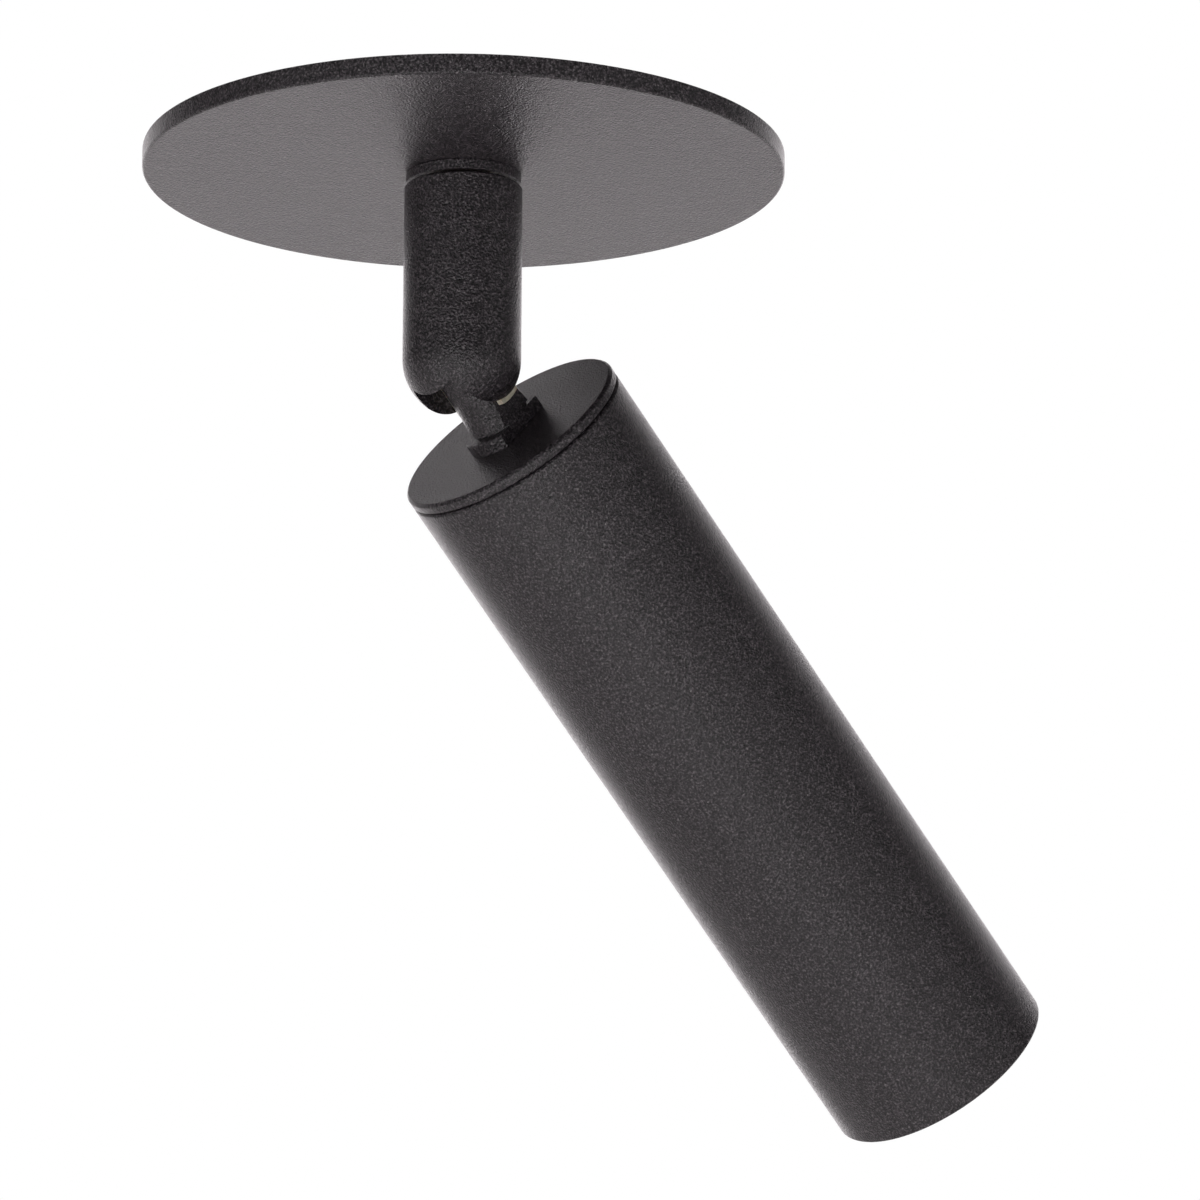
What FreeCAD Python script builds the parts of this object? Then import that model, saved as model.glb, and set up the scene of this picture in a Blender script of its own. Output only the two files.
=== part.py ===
import FreeCAD, Part
import math
import os
from types import SimpleNamespace

import Sketcher

# A surface mounted ceiling spotlight: a thin round ceiling plate, a short round stem that turns
# under it, and a plain cylindrical lamp head on a knuckle that tilts in a slot in the stem's
# domed end. The origin is the centre of the plate's ceiling side, +Z is up, and the head tilts
# towards +X about a screw along Y. All sizes are in millimetres.

VECTOR = FreeCAD.Vector
RIGHT_ANGLE = 90.0
FULL_TURN = 360.0
TINY = 1e-3
MITRED = 1

# The driving dimensions. Every other size and place is worked out from these.
DRIVING_SIZES = {
    # ceiling plate: a shallow turned dish
    "plate_diameter": 106.0,
    "plate_face_wall": 1.0,
    "plate_rim_width": 3.0,
    "plate_edge_break": 0.25,
    # steel strap in the dish, screwed to the ceiling through its two slots
    "strap_end_gap": 2.8,
    "strap_width": 22.0,
    "strap_thickness": 1.5,
    "strap_countersink": 0.8,
    "strap_slot_spacing": 60.0,
    "strap_slot_length": 9.0,
    "strap_slot_width": 4.5,
    "strap_corner_radius": 4.0,
    "spacer_thickness": 0.8,
    "spacer_diameter": 18.0,
    # hollow threaded swivel bolt, its nut and washer, and the collar that clamps the plate
    "bolt_diameter": 10.0,
    "bolt_bore": 6.6,
    "bolt_flange_gap": 0.4,
    "bolt_flange_thickness": 2.0,
    "bolt_end_above_nut": 1.5,
    "lock_nut_flats": 14.0,
    "lock_nut_thickness": 3.0,
    "lock_washer_thickness": 0.7,
    "nut_lug_thickness": 1.2,
    "nut_lug_length": 8.0,
    "nut_lug_height": 2.4,
    "collar_diameter": 19.0,
    "collar_height": 1.7,
    # stem
    "stem_gap": 0.5,
    "stem_diameter": 19.5,
    "stem_bore": 15.0,
    "stem_edge_break": 0.3,
    "stem_wire_hole": 6.0,
    "ring_recess": 0.5,
    "ring_thickness": 3.0,
    "wave_washer_height": 1.0,
    "wave_washer_inset": 0.2,
    "spanner_hole": 1.5,
    # stop that keeps the stem from being turned round and round
    "stop_pin_diameter": 1.6,
    "stop_pin_reach": 2.0,
    "stop_pin_hold": 1.5,
    "stop_pin_inset": 0.7,
    "stop_lug_width": 1.2,
    # tilt joint
    "pivot_depth": 35.5,
    "pivot_below_dome_centre": 0.6,
    "rest_tilt": 47.4,
    "tilt_screw_diameter": 3.0,
    "tilt_screw_head": 5.5,
    "tilt_screw_head_height": 1.9,
    "tilt_screw_head_sink": 0.6,
    "tilt_screw_tip_wall": 1.0,
    "tilt_screw_key": 2.5,
    "tilt_screw_key_depth": 1.2,
    "tilt_washer_thickness": 0.4,
    "friction_pad_thickness": 1.15,
    "friction_pad_reach": 8.6,
    # knuckle
    "knuckle_flats": 8.5,
    "knuckle_edge_break": 0.2,
    "knuckle_top_radius": 5.2,
    "knuckle_end_margin": 0.1,
    "knuckle_foot_radius": 5.6,
    "knuckle_taper_start": 7.8,
    "knuckle_groove_depth": 0.55,
    "knuckle_groove_height": 0.5,
    "knuckle_flange_radius": 7.1,
    "knuckle_flange_height": 2.25,
    "knuckle_bore": 5.4,
    "knuckle_thread": 8.0,
    "knuckle_thread_proud": 1.2,
    "grommet_depth": 2.0,
    "grommet_lip": 1.0,
    "knuckle_nut_flats": 13.0,
    "knuckle_nut_thickness": 4.0,
    "knuckle_washer_diameter": 16.0,
    "knuckle_washer_thickness": 0.8,
    # lamp head
    "cap_face_distance": 14.1,
    "head_length": 137.8,
    "tube_diameter": 40.0,
    "tube_wall": 1.6,
    "tube_edge_break": 0.3,
    "cap_band": 1.7,
    "cap_edge_break": 0.45,
    "cap_groove": 0.4,
    "cap_groove_depth": 0.6,
    "cap_thickness": 4.0,
    "cap_skirt_end": 8.0,
    "cap_skirt_wall": 2.4,
    # what the head holds, from the cap to the light end
    "sleeve_wall": 1.2,
    "board_thickness": 1.6,
    "board_edge_gap": 0.4,
    "board_end_gap": 3.0,
    "component_gap": 2.0,
    "board_offset": 5.0,
    "board_rail_depth": 1.4,
    "board_rail_width": 1.2,
    "connector_length": 6.5,
    "connector_top": 1.5,
    "input_connector_width": 10.0,
    "output_connector_width": 24.0,
    "transformer_length": 12.0,
    "transformer_width": 12.5,
    "transformer_height": 9.5,
    "winding_length": 7.0,
    "winding_width": 15.5,
    "winding_height": 8.0,
    "capacitor_radius": 4.0,
    "capacitor_length": 10.0,
    "capacitor_spacing": 12.0,
    "heat_sink_length": 26.0,
    "heat_sink_base": 5.0,
    "heat_sink_core": 9.0,
    "chip_wire_wall": 0.5,
    "wire_hole": 2.0,
    "fin_thickness": 1.2,
    "led_side": 15.8,
    "led_thickness": 1.0,
    "led_light_diameter": 10.0,
    "led_light_height": 0.4,
    "pad_thickness": 0.3,
    "holder_edge_gap": 2.35,
    "holder_edge_wall": 0.65,
    "holder_thickness": 3.2,
    "holder_window": 12.6,
    "holder_screw_diameter": 3.0,
    "holder_screw_end_wall": 1.0,
    "holder_screw_head": 5.5,
    "holder_screw_head_height": 1.4,
    "reflector_length": 19.0,
    "reflector_wall": 0.8,
    "reflector_rim": 1.2,
    "reflector_rim_width": 1.85,
    "gasket_thickness": 0.8,
    "gasket_width": 1.6,
    "glass_thickness": 2.0,
    "baffle_length": 12.0,
    "baffle_setback": 0.8,
    "baffle_mouth_wall": 0.9,
    # wiring
    "wire_diameter": 1.2,
    "wire_spacing": 2.0,
    "wire_bend_radius": 3.5,
    "terminal_length": 18.0,
    "terminal_width": 9.0,
    "terminal_nut_gap": 3.2,
    "terminal_cover": 1.8,
    "terminal_wire_hole": 3.0,
    "terminal_screw_diameter": 3.0,
    "terminal_stud_height": 3.0,
    "wire_exit": 1.5,
    "earth_nut_gap": 2.4,
    "earth_screw_diameter": 4.0,
    "earth_head_diameter": 8.0,
    "earth_head_height": 2.6,
    "earth_slot_width": 1.0,
    "earth_washer_diameter": 9.6,
    # fits
    "running_clearance": 0.05,
    "slip_clearance": 0.05,
    "hole_clearance": 0.1,
    "swivel_clearance": 0.08,
    "moving_gap": 0.3,
    "inner_gap": 1.0,
}

FIN_COUNT = 14
SPANNER_HOLES = 2
BAFFLE_STEPS = 3
TERMINAL_POLES = 3


class Size:
    """A length, as its number and as the sheet expression that gives it."""

    def __init__(self, number, text):
        self.number = number
        self.text = text

    def combined(self, sign, other, swap=False):
        first, second = (as_size(other), self) if swap else (self, as_size(other))
        numbers = {
            "+": lambda a, b: a + b,
            "-": lambda a, b: a - b,
            "*": lambda a, b: a * b,
            "/": lambda a, b: a / b,
        }
        number = numbers[sign](first.number, second.number)
        return Size(number, f"({first.text} {sign} {second.text})")

    def __add__(self, other):
        return self.combined("+", other)

    def __radd__(self, other):
        return self.combined("+", other, swap=True)

    def __sub__(self, other):
        return self.combined("-", other)

    def __rsub__(self, other):
        return self.combined("-", other, swap=True)

    def __mul__(self, other):
        return self.combined("*", other)

    def __rmul__(self, other):
        return self.combined("*", other, swap=True)

    def __truediv__(self, other):
        return self.combined("/", other)

    def __neg__(self):
        return Size(-self.number, f"(0 - {self.text})")


def as_size(value):
    """A plain number as a Size; a Size stays as it is."""
    return value if isinstance(value, Size) else Size(float(value), repr(float(value)))


def root(size):
    """The square root of a Size."""
    return Size(math.sqrt(size.number), f"sqrt({size.text})")


# ---------------------------------------------------------------- document and sheet

document = FreeCAD.newDocument("ceiling_spotlight")
sheet = document.addObject("Spreadsheet::Sheet", "dims")
for row, (alias, number) in enumerate(DRIVING_SIZES.items(), start=1):
    sheet.set(f"A{row}", alias)
    sheet.set(f"B{row}", str(number))
    sheet.setAlias(f"B{row}", alias)
document.recompute()
d = SimpleNamespace(**{alias: Size(number, f"dims.{alias}") for alias, number in DRIVING_SIZES.items()})

# ---------------------------------------------------------------- how the pieces are made


def bind(item, property_name, size):
    """Bind one property of an object to a Size."""
    item.setExpression(property_name, as_size(size).text)


def new_body(label):
    """An empty PartDesign body with its own label."""
    body = document.addObject("PartDesign::Body", label)
    body.Label = label
    return body


def plane_sketch(body, name, role, level=0.0):
    """A sketch on one of the body's own origin planes, lifted off it by level."""
    sketch = body.newObject("Sketcher::SketchObject", name)
    plane = next(item for item in body.Origin.OriginFeatures if item.Role == role)
    sketch.AttachmentSupport = [(plane, "")]
    sketch.MapMode = "FlatFace"
    bind(sketch, "AttachmentOffset.Base.z", level)
    return sketch


def fix_point(sketch, geometry, end, point):
    """Hold one point of a sketch at two Sizes from the sketch's origin."""
    for kind, size in zip(("DistanceX", "DistanceY"), point):
        constraint = Sketcher.Constraint(kind, -1, 1, geometry, end, as_size(size).number)
        index = sketch.addConstraint(constraint)
        bind(sketch, f"Constraints[{index}]", size)


def flat_point(point):
    """A sketch point's numbers as a vector."""
    return VECTOR(as_size(point[0]).number, as_size(point[1]).number, 0.0)


def add_polygon(sketch, corners):
    """A closed outline of straight lines through corners."""
    first = sketch.GeometryCount
    count = len(corners)
    for index, corner in enumerate(corners):
        following = corners[(index + 1) % count]
        sketch.addGeometry(Part.LineSegment(flat_point(corner), flat_point(following)))
    for index, corner in enumerate(corners):
        previous = first + (index - 1) % count
        sketch.addConstraint(Sketcher.Constraint("Coincident", previous, 2, first + index, 1))
        fix_point(sketch, first + index, 1, corner)


def add_domed_outline(sketch, corners, centre):
    """An outline that starts on the axis and ends in a quarter arc, about centre, down to the axis."""
    add_open_run(sketch, corners)
    last_line = sketch.GeometryCount - 1
    radius = as_size(corners[-1][0])
    circle = Part.Circle(flat_point((0, centre)), VECTOR(0, 0, 1), radius.number)
    arc = sketch.addGeometry(Part.ArcOfCircle(circle, -math.pi / 2, 0.0))
    sketch.addConstraint(Sketcher.Constraint("Coincident", last_line, 2, arc, 2))
    fix_point(sketch, arc, 3, (0, centre))
    pole = flat_point((0, centre - radius))
    axis_line = sketch.addGeometry(Part.LineSegment(pole, flat_point(corners[0])))
    sketch.addConstraint(Sketcher.Constraint("Coincident", arc, 1, axis_line, 1))
    sketch.addConstraint(Sketcher.Constraint("Coincident", axis_line, 2, 0, 1))
    sketch.addConstraint(Sketcher.Constraint("Vertical", axis_line))


def add_open_run(sketch, corners):
    """A run of straight lines through corners, which isn't closed."""
    for index, (corner, following) in enumerate(zip(corners, corners[1:])):
        sketch.addGeometry(Part.LineSegment(flat_point(corner), flat_point(following)))
        if index:
            sketch.addConstraint(Sketcher.Constraint("Coincident", index - 1, 2, index, 1))
        fix_point(sketch, index, 1, corner)
    fix_point(sketch, index, 2, following)


def add_circle(sketch, centre, radius):
    """A circle whose centre and radius are Sizes."""
    radius = as_size(radius)
    index = sketch.addGeometry(Part.Circle(flat_point(centre), VECTOR(0, 0, 1), radius.number))
    fix_point(sketch, index, 3, centre)
    constraint = sketch.addConstraint(Sketcher.Constraint("Radius", index, radius.number))
    bind(sketch, f"Constraints[{constraint}]", radius)


def rectangle(centre, wide, deep):
    """The corners of a rectangle round a centre."""
    x, y = as_size(centre[0]), as_size(centre[1])
    return [
        (x - wide / 2, y - deep / 2),
        (x + wide / 2, y - deep / 2),
        (x + wide / 2, y + deep / 2),
        (x - wide / 2, y + deep / 2),
    ]


def hexagon(flats):
    """The corners of a regular hexagon of a given width across its flats."""
    corner_radius = flats / math.sqrt(3.0)
    angles = [math.radians(60.0 * corner) for corner in range(6)]
    return [(corner_radius * math.cos(angle), corner_radius * math.sin(angle)) for angle in angles]


def turn(body, name, draw):
    """Revolve the (radius, height) outline that draw makes about the body's own Z axis."""
    sketch = plane_sketch(body, f"{name}_outline", "XZ_Plane")
    draw(sketch)
    revolution = body.newObject("PartDesign::Revolution", name)
    revolution.Profile = sketch
    revolution.ReferenceAxis = (sketch, ["V_Axis"])
    revolution.Angle = FULL_TURN
    document.recompute()
    return revolution


def pad(body, name, draw, height, level=0.0):
    """Raise what draw puts in a sketch, from level up by height."""
    sketch = plane_sketch(body, f"{name}_outline", "XY_Plane", level)
    draw(sketch)
    feature = body.newObject("PartDesign::Pad", name)
    feature.Profile = sketch
    bind(feature, "Length", height)
    document.recompute()
    return feature


def pocket(body, name, draw, level, depth):
    """Cut what draw puts in a sketch, from level down by depth, and check that it cuts."""
    before = body.Shape.Volume
    sketch = plane_sketch(body, f"{name}_outline", "XY_Plane", level)
    draw(sketch)
    feature = body.newObject("PartDesign::Pocket", name)
    feature.Profile = sketch
    bind(feature, "Length", depth)
    document.recompute()
    if not body.Shape.Volume < before:
        raise RuntimeError(f"{body.Label}: {name} cuts nothing")
    return feature


def break_edges(body, name, kind, size, picked):
    """Chamfer or round the edges that picked chooses."""
    edges = [
        f"Edge{index}" for index, edge in enumerate(body.Shape.Edges, start=1)
        if not edge.Degenerated and picked(edge)
    ]
    base = body.Tip
    feature = body.newObject(f"PartDesign::{kind}", name)
    feature.Base = (base, edges)
    bind(feature, "Radius" if kind == "Fillet" else "Size", size)
    document.recompute()
    return feature


def circle_at(radius, height):
    """A test for round edges of one radius, at one height unless that is None."""
    def picked(edge):
        if not isinstance(edge.Curve, Part.Circle) or not near(edge.Curve.Radius, radius):
            return False
        return height is None or near(edge.Curve.Center.z, height)
    return picked


def near(first, second):
    """Whether two numbers are the same length to a thousandth."""
    return abs(as_size(first).number - as_size(second).number) < TINY


def turned_piece(label, corners):
    """A piece that is one revolved outline."""
    body = new_body(label)
    turn(body, "turning", lambda sketch: add_polygon(sketch, corners))
    return body


def ring(label, inner, outer, bottom, top):
    """A plain flat ring or tube."""
    return turned_piece(label, [(inner, bottom), (outer, bottom), (outer, top), (inner, top)])


def cylinder(name, radius, height):
    """A Part cylinder that stands on its own origin."""
    item = document.addObject("Part::Cylinder", name)
    bind(item, "Radius", radius)
    bind(item, "Height", height)
    return item


def box(name, length, width, height):
    """A Part box with one corner at its own origin."""
    item = document.addObject("Part::Box", name)
    bind(item, "Length", length)
    bind(item, "Width", width)
    bind(item, "Height", height)
    return item


def move(item, x=0.0, y=0.0, z=0.0):
    """Put an object's own origin at three Sizes."""
    for axis, size in zip("xyz", (x, y, z)):
        bind(item, f"Placement.Base.{axis}", size)
    return item


def lay_along_y(item):
    """Turn an object so that its own Z axis points along +Y."""
    item.Placement = FreeCAD.Placement(VECTOR(), FreeCAD.Rotation(VECTOR(1, 0, 0), -RIGHT_ANGLE))
    return item


def hang(item):
    """Hang a piece of the head, made pointing straight down, at its tilt under the pivot."""
    item.Placement = FreeCAD.Placement(VECTOR(), FreeCAD.Rotation(VECTOR(0, 1, 0), -d.rest_tilt.number))
    bind(item, "Placement.Rotation.Angle", -d.rest_tilt)
    bind(item, "Placement.Base.z", -d.pivot_depth)
    return item


def joined(name, items):
    """Several Part objects fused into one solid."""
    fusion = document.addObject("Part::MultiFuse", name)
    fusion.Shapes = items
    return fusion


def cut(label, base, tool):
    """One object less another."""
    item = document.addObject("Part::Cut", label)
    item.Label = label
    item.Base = base
    item.Tool = tool
    return item


def group(label, items):
    """Separate solids that share one node."""
    compound = document.addObject("Part::Compound", label)
    compound.Label = label
    compound.Links = items
    return compound


# ---------------------------------------------------------------- heights under the ceiling

strap_top = as_size(0)
strap_bottom = strap_top - d.strap_thickness
dish_floor = strap_bottom - d.spacer_thickness
plate_bottom = dish_floor - d.plate_face_wall
plate_radius = d.plate_diameter / 2
bolt_radius = d.bolt_diameter / 2
bolt_hole_radius = bolt_radius + d.hole_clearance
dish_radius = plate_radius - d.plate_rim_width
strap_reach = root(dish_radius * dish_radius - d.strap_width * d.strap_width / 4) - d.strap_end_gap
nut_bottom = strap_top + d.lock_washer_thickness
nut_corner_radius = d.lock_nut_flats / math.sqrt(3.0)
nut_top = nut_bottom + d.lock_nut_thickness
bolt_top = nut_top + d.bolt_end_above_nut
collar_bottom = plate_bottom - d.collar_height
stem_top = collar_bottom - d.stem_gap
stem_radius = d.stem_diameter / 2
stem_bore_radius = d.stem_bore / 2
ring_top = stem_top - d.ring_recess
ring_bottom = ring_top - d.ring_thickness
flange_radius = stem_bore_radius - d.bolt_flange_gap
flange_top = ring_bottom - d.wave_washer_height
flange_bottom = flange_top - d.bolt_flange_thickness
bore_floor = flange_bottom - d.stop_pin_reach - d.inner_gap

# tilt joint: half widths across the slot and the slot's reach round the screw
half_flats = d.knuckle_flats / 2
half_slot = half_flats + d.friction_pad_thickness + d.running_clearance
knuckle_end_radius = d.knuckle_top_radius + d.knuckle_end_margin
slot_radius = knuckle_end_radius + d.moving_gap
screw_seat = stem_radius - d.tilt_screw_head_sink - d.tilt_screw_head_height - d.tilt_washer_thickness
screw_tip = stem_radius - d.tilt_screw_tip_wall - d.moving_gap
screw_radius = d.tilt_screw_diameter / 2
screw_hole_radius = screw_radius + d.running_clearance
stop_radius = flange_radius - d.stop_pin_inset - d.stop_pin_diameter / 2

# terminal and earth on the strap, and the wires between terminal and bolt
wire_radius = d.wire_diameter / 2
wire_run = bolt_top + d.wire_bend_radius
channel_level = wire_run - wire_radius + d.terminal_wire_hole / 2
terminal_top = channel_level + d.terminal_wire_hole / 2 + d.terminal_cover
terminal_face = nut_corner_radius + d.terminal_nut_gap
terminal_place = terminal_face + d.terminal_width / 2
earth_place = nut_corner_radius + d.earth_nut_gap + d.earth_washer_diameter / 2

# distances along the head's own axis, from the cap's outer face to the light end
tube_radius = d.tube_diameter / 2
tube_bore_radius = tube_radius - d.tube_wall
fit_radius = tube_bore_radius - d.slip_clearance
tube_start = d.cap_band + d.cap_groove
knuckle_end = d.cap_thickness + d.knuckle_washer_thickness + d.knuckle_nut_thickness + d.knuckle_thread_proud
baffle_end = d.head_length - d.baffle_setback
baffle_start = baffle_end - d.baffle_length
glass_start = baffle_start - d.glass_thickness
gasket_start = glass_start - d.gasket_thickness
reflector_start = gasket_start - d.reflector_length
heat_sink_end = reflector_start - d.holder_thickness
heat_sink_start = heat_sink_end - d.heat_sink_length
sleeve_length = heat_sink_start - d.cap_skirt_end
sleeve_inner_radius = fit_radius - d.sleeve_wall
board_start = knuckle_end + d.grommet_lip + d.board_end_gap
board_end = heat_sink_start - d.board_end_gap
board_face = d.board_thickness / 2 - d.board_offset
board_far_face = d.board_thickness / 2 + d.board_offset
board_half_width = root(
    sleeve_inner_radius * sleeve_inner_radius - board_far_face * board_far_face) - d.board_edge_gap
capacitor_start = board_start + d.connector_length + d.component_gap
transformer_end = board_end - d.connector_length - d.component_gap

# light source, its holder and the bowl in front of it
chip_clearance_side = d.led_side + 2 * d.hole_clearance
led_wire_place = chip_clearance_side / 2 + d.chip_wire_wall + d.wire_hole / 2
holder_radius = fit_radius - d.holder_edge_gap
screw_well_radius = d.holder_screw_head / 2 + d.hole_clearance
holder_screw_place = holder_radius - d.holder_edge_wall - screw_well_radius
screw_depth = d.heat_sink_base - d.holder_screw_end_wall
mouth_radius = fit_radius - d.reflector_rim_width


def along(distance):
    """Height, in the head's own frame, of a distance from the cap's outer face."""
    return -(d.cap_face_distance + distance)


# ---------------------------------------------------------------- fixed pieces at the ceiling


def ceiling_plate():
    """A shallow dish turned from aluminium, with the bolt's hole in its middle."""
    body = turned_piece("ceiling_plate", [
        (bolt_hole_radius, plate_bottom),
        (plate_radius, plate_bottom),
        (plate_radius, 0),
        (dish_radius, 0),
        (dish_radius, dish_floor),
        (bolt_hole_radius, dish_floor),
    ])
    break_edges(
        body, "lower_edge", "Chamfer", d.plate_edge_break, circle_at(plate_radius, plate_bottom))
    return body


def mounting_strap():
    """A pressed steel bar with slots for the ceiling screws and two lugs that hold the nut."""
    body = new_body("mounting_strap")
    pad(
        body, "bar",
        lambda sketch: add_polygon(sketch, rectangle((0, 0), d.strap_width, 2 * strap_reach)),
        d.strap_thickness, strap_bottom,
    )
    break_edges(
        body, "corners", "Fillet", d.strap_corner_radius,
        lambda edge: near(edge.BoundBox.ZLength, d.strap_thickness),
    )
    for side, sign in (("front", -1.0), ("back", 1.0)):
        lug_place = sign * (d.lock_nut_flats / 2 + d.slip_clearance + d.nut_lug_thickness / 2)
        pad(
            body, f"{side}_nut_lug",
            lambda sketch: add_polygon(
                sketch, rectangle((0, lug_place), d.nut_lug_length, d.nut_lug_thickness)),
            d.nut_lug_height, strap_top,
        )
    strap_hole(body, "bolt_hole", 0, bolt_hole_radius)
    strap_hole(body, "earth_hole", -earth_place, d.earth_screw_diameter / 2)
    strap_hole(body, "terminal_hole", terminal_place, d.terminal_screw_diameter / 2)
    straight = d.strap_slot_length - d.strap_slot_width
    for side, sign in (("front", -1.0), ("back", 1.0)):
        centre = sign * d.strap_slot_spacing / 2
        pocket(
            body, f"{side}_slot",
            lambda sketch: add_polygon(sketch, rectangle((0, centre), d.strap_slot_width, straight)),
            strap_top, d.strap_thickness,
        )
        strap_hole(body, f"{side}_slot_near_end", centre - sign * straight / 2, d.strap_slot_width / 2)
        strap_hole(body, f"{side}_slot_far_end", centre + sign * straight / 2, d.strap_slot_width / 2)
    break_edges(body, "countersinks", "Chamfer", d.strap_countersink, slot_underside)
    return body


def strap_hole(body, name, place, radius):
    """A round hole through the strap, on its long centre line."""
    pocket(
        body, name, lambda sketch: add_circle(sketch, (0, place), radius),
        strap_top, d.strap_thickness,
    )


def slot_underside(edge):
    """Whether an edge of the strap is one of those round its two slots, on the underside."""
    across, middle = abs(edge.CenterOfMass.x), abs(edge.CenterOfMass.y)
    half_length = (d.strap_slot_length / 2).number
    within = (
        across < (d.strap_slot_width / 2).number + TINY
        and abs(middle - (d.strap_slot_spacing / 2).number) < half_length + TINY
    )
    return within and near(edge.BoundBox.ZMax, strap_bottom)


def hexagon_nut(label, flats, bore_radius, bottom, thickness):
    """A hexagon nut with its thread as a plain bore."""
    body = new_body(label)
    pad(body, "hexagon", lambda sketch: add_polygon(sketch, hexagon(flats)), thickness, bottom)
    pocket(
        body, "thread", lambda sketch: add_circle(sketch, (0, 0), bore_radius),
        bottom + thickness, thickness,
    )
    return body


def swivel_bolt():
    """The hollow bolt that carries the lamp, with the flange that the stem hangs and turns on."""
    bore_radius = d.bolt_bore / 2
    body = turned_piece("swivel_bolt", [
        (bore_radius, flange_bottom),
        (flange_radius, flange_bottom),
        (flange_radius, flange_top),
        (bolt_radius, flange_top),
        (bolt_radius, bolt_top),
        (bore_radius, bolt_top),
    ])
    pocket(
        body, "stop_pin_hole",
        lambda sketch: add_circle(sketch, (-stop_radius, 0), d.stop_pin_diameter / 2),
        flange_bottom + d.stop_pin_hold, d.stop_pin_hold,
    )
    return body


def pan_stop_pin():
    """A dowel pressed into the flange, which runs against the lug in the stem."""
    body = new_body("pan_stop_pin")
    pad(
        body, "pin",
        lambda sketch: add_circle(sketch, (-stop_radius, 0), d.stop_pin_diameter / 2),
        d.stop_pin_hold + d.stop_pin_reach, flange_bottom - d.stop_pin_reach,
    )
    return body


def pole_place(pole):
    """How far along the terminal block a pole lies from its middle."""
    return (pole - (TERMINAL_POLES - 1) / 2) * d.terminal_length / TERMINAL_POLES


def terminal_block():
    """A moulded connector block on the strap, with a wire channel and a screw well for each pole."""
    body = new_body("terminal_moulding")
    centre = (0, terminal_place)
    pad(
        body, "moulding",
        lambda sketch: add_polygon(sketch, rectangle(centre, d.terminal_length, d.terminal_width)),
        terminal_top - strap_top, strap_top,
    )
    for pole in range(TERMINAL_POLES):
        pocket(
            body, f"screw_well_{pole + 1}",
            lambda sketch: add_circle(sketch, (pole_place(pole), terminal_place),
                                      d.terminal_screw_diameter / 2 + d.hole_clearance),
            terminal_top, terminal_top - channel_level,
        )
    pocket(
        body, "stud_hole",
        lambda sketch: add_circle(sketch, centre, d.terminal_screw_diameter / 2),
        strap_top + d.terminal_stud_height, d.terminal_stud_height,
    )
    channels = []
    for pole in range(TERMINAL_POLES):
        channel = cylinder(f"wire_channel_{pole + 1}", d.terminal_wire_hole / 2, 2 * d.terminal_width)
        lay_along_y(channel)
        move(channel, pole_place(pole), terminal_place - d.terminal_width, channel_level)
        channels.append(channel)
    return cut("terminal_block", body, joined("wire_channels", channels))


def terminal_screws():
    """The clamping screws of the terminal block, one in each well, down on the wires."""
    length = terminal_top - wire_run - wire_radius
    screws = []
    for pole in range(TERMINAL_POLES):
        body = new_body(f"terminal_screw_{pole + 1}")
        pad(
            body, "shank",
            lambda sketch: add_circle(sketch, (0, 0), d.terminal_screw_diameter / 2),
            length, terminal_top - length,
        )
        screws.append(move(body, pole_place(pole), terminal_place))
    return group("terminal_screws", screws)


def terminal_stud():
    """The stud riveted in the strap that the terminal block is pushed on to."""
    return move(turned_piece("terminal_stud", [
        (0, strap_bottom),
        (d.terminal_screw_diameter / 2, strap_bottom),
        (d.terminal_screw_diameter / 2, strap_top + d.terminal_stud_height),
        (0, strap_top + d.terminal_stud_height),
    ]), 0, terminal_place)


def screw_body(name, tip, seat, top, shank_radius, head_radius):
    """A screw turned about its own Z axis, from its tip to its seat and the top of its head."""
    return turned_piece(name, [
        (0, tip),
        (shank_radius, tip),
        (shank_radius, seat),
        (head_radius, seat),
        (head_radius, top),
        (0, top),
    ])


def earth_screw():
    """The screw that clamps the earth wire under its cupped washer."""
    seat = strap_top + d.lock_washer_thickness
    body = screw_body(
        "earth_screw", strap_bottom, seat, seat + d.earth_head_height,
        d.earth_screw_diameter / 2, d.earth_head_diameter / 2,
    )
    pocket(
        body, "driver_slot",
        lambda sketch: add_polygon(
            sketch, rectangle((0, 0), d.earth_slot_width, 2 * d.earth_head_diameter)),
        seat + d.earth_head_height, d.earth_head_height / 2,
    )
    return move(body, 0, -earth_place)


def earth_washer():
    """The washer under the earth screw's head."""
    return move(ring(
        "earth_washer", d.earth_screw_diameter / 2, d.earth_washer_diameter / 2,
        strap_top, strap_top + d.lock_washer_thickness,
    ), 0, -earth_place)


def wire_pair(label, routes):
    """Two round insulated wires, each along straight runs between points, that share one node."""
    wires = []
    for points in routes:
        circle = Part.Circle(points[0], points[1] - points[0], wire_radius.number)
        section = Part.Wire(circle.toShape())
        wires.append(Part.makePolygon(points).makePipeShell([section], True, False, MITRED))
    leads = document.addObject("Part::Feature", label)
    leads.Label = label
    leads.Shape = Part.Compound(wires)
    return leads


def supply_leads():
    """The two insulated wires from the terminal block down through the bolt to the slot."""
    run = wire_run.number
    bend = d.wire_bend_radius.number
    exit_place = (terminal_face - d.wire_exit).number
    lowest = (slot_radius - d.pivot_depth + d.moving_gap).number
    routes = []
    for side, pole in ((-1.0, 0), (1.0, TERMINAL_POLES - 1)):
        pole_x = pole_place(pole).number
        bore_x = side * d.wire_spacing.number / 2
        share = bend / exit_place
        routes.append([
            VECTOR(pole_x, terminal_place.number, run),
            VECTOR(pole_x, exit_place, run),
            VECTOR(bore_x + (pole_x - bore_x) * share, bend, run),
            VECTOR(bore_x, 0, run - bend),
            VECTOR(bore_x, 0, lowest),
        ])
    return wire_pair("supply_leads", routes)


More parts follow.
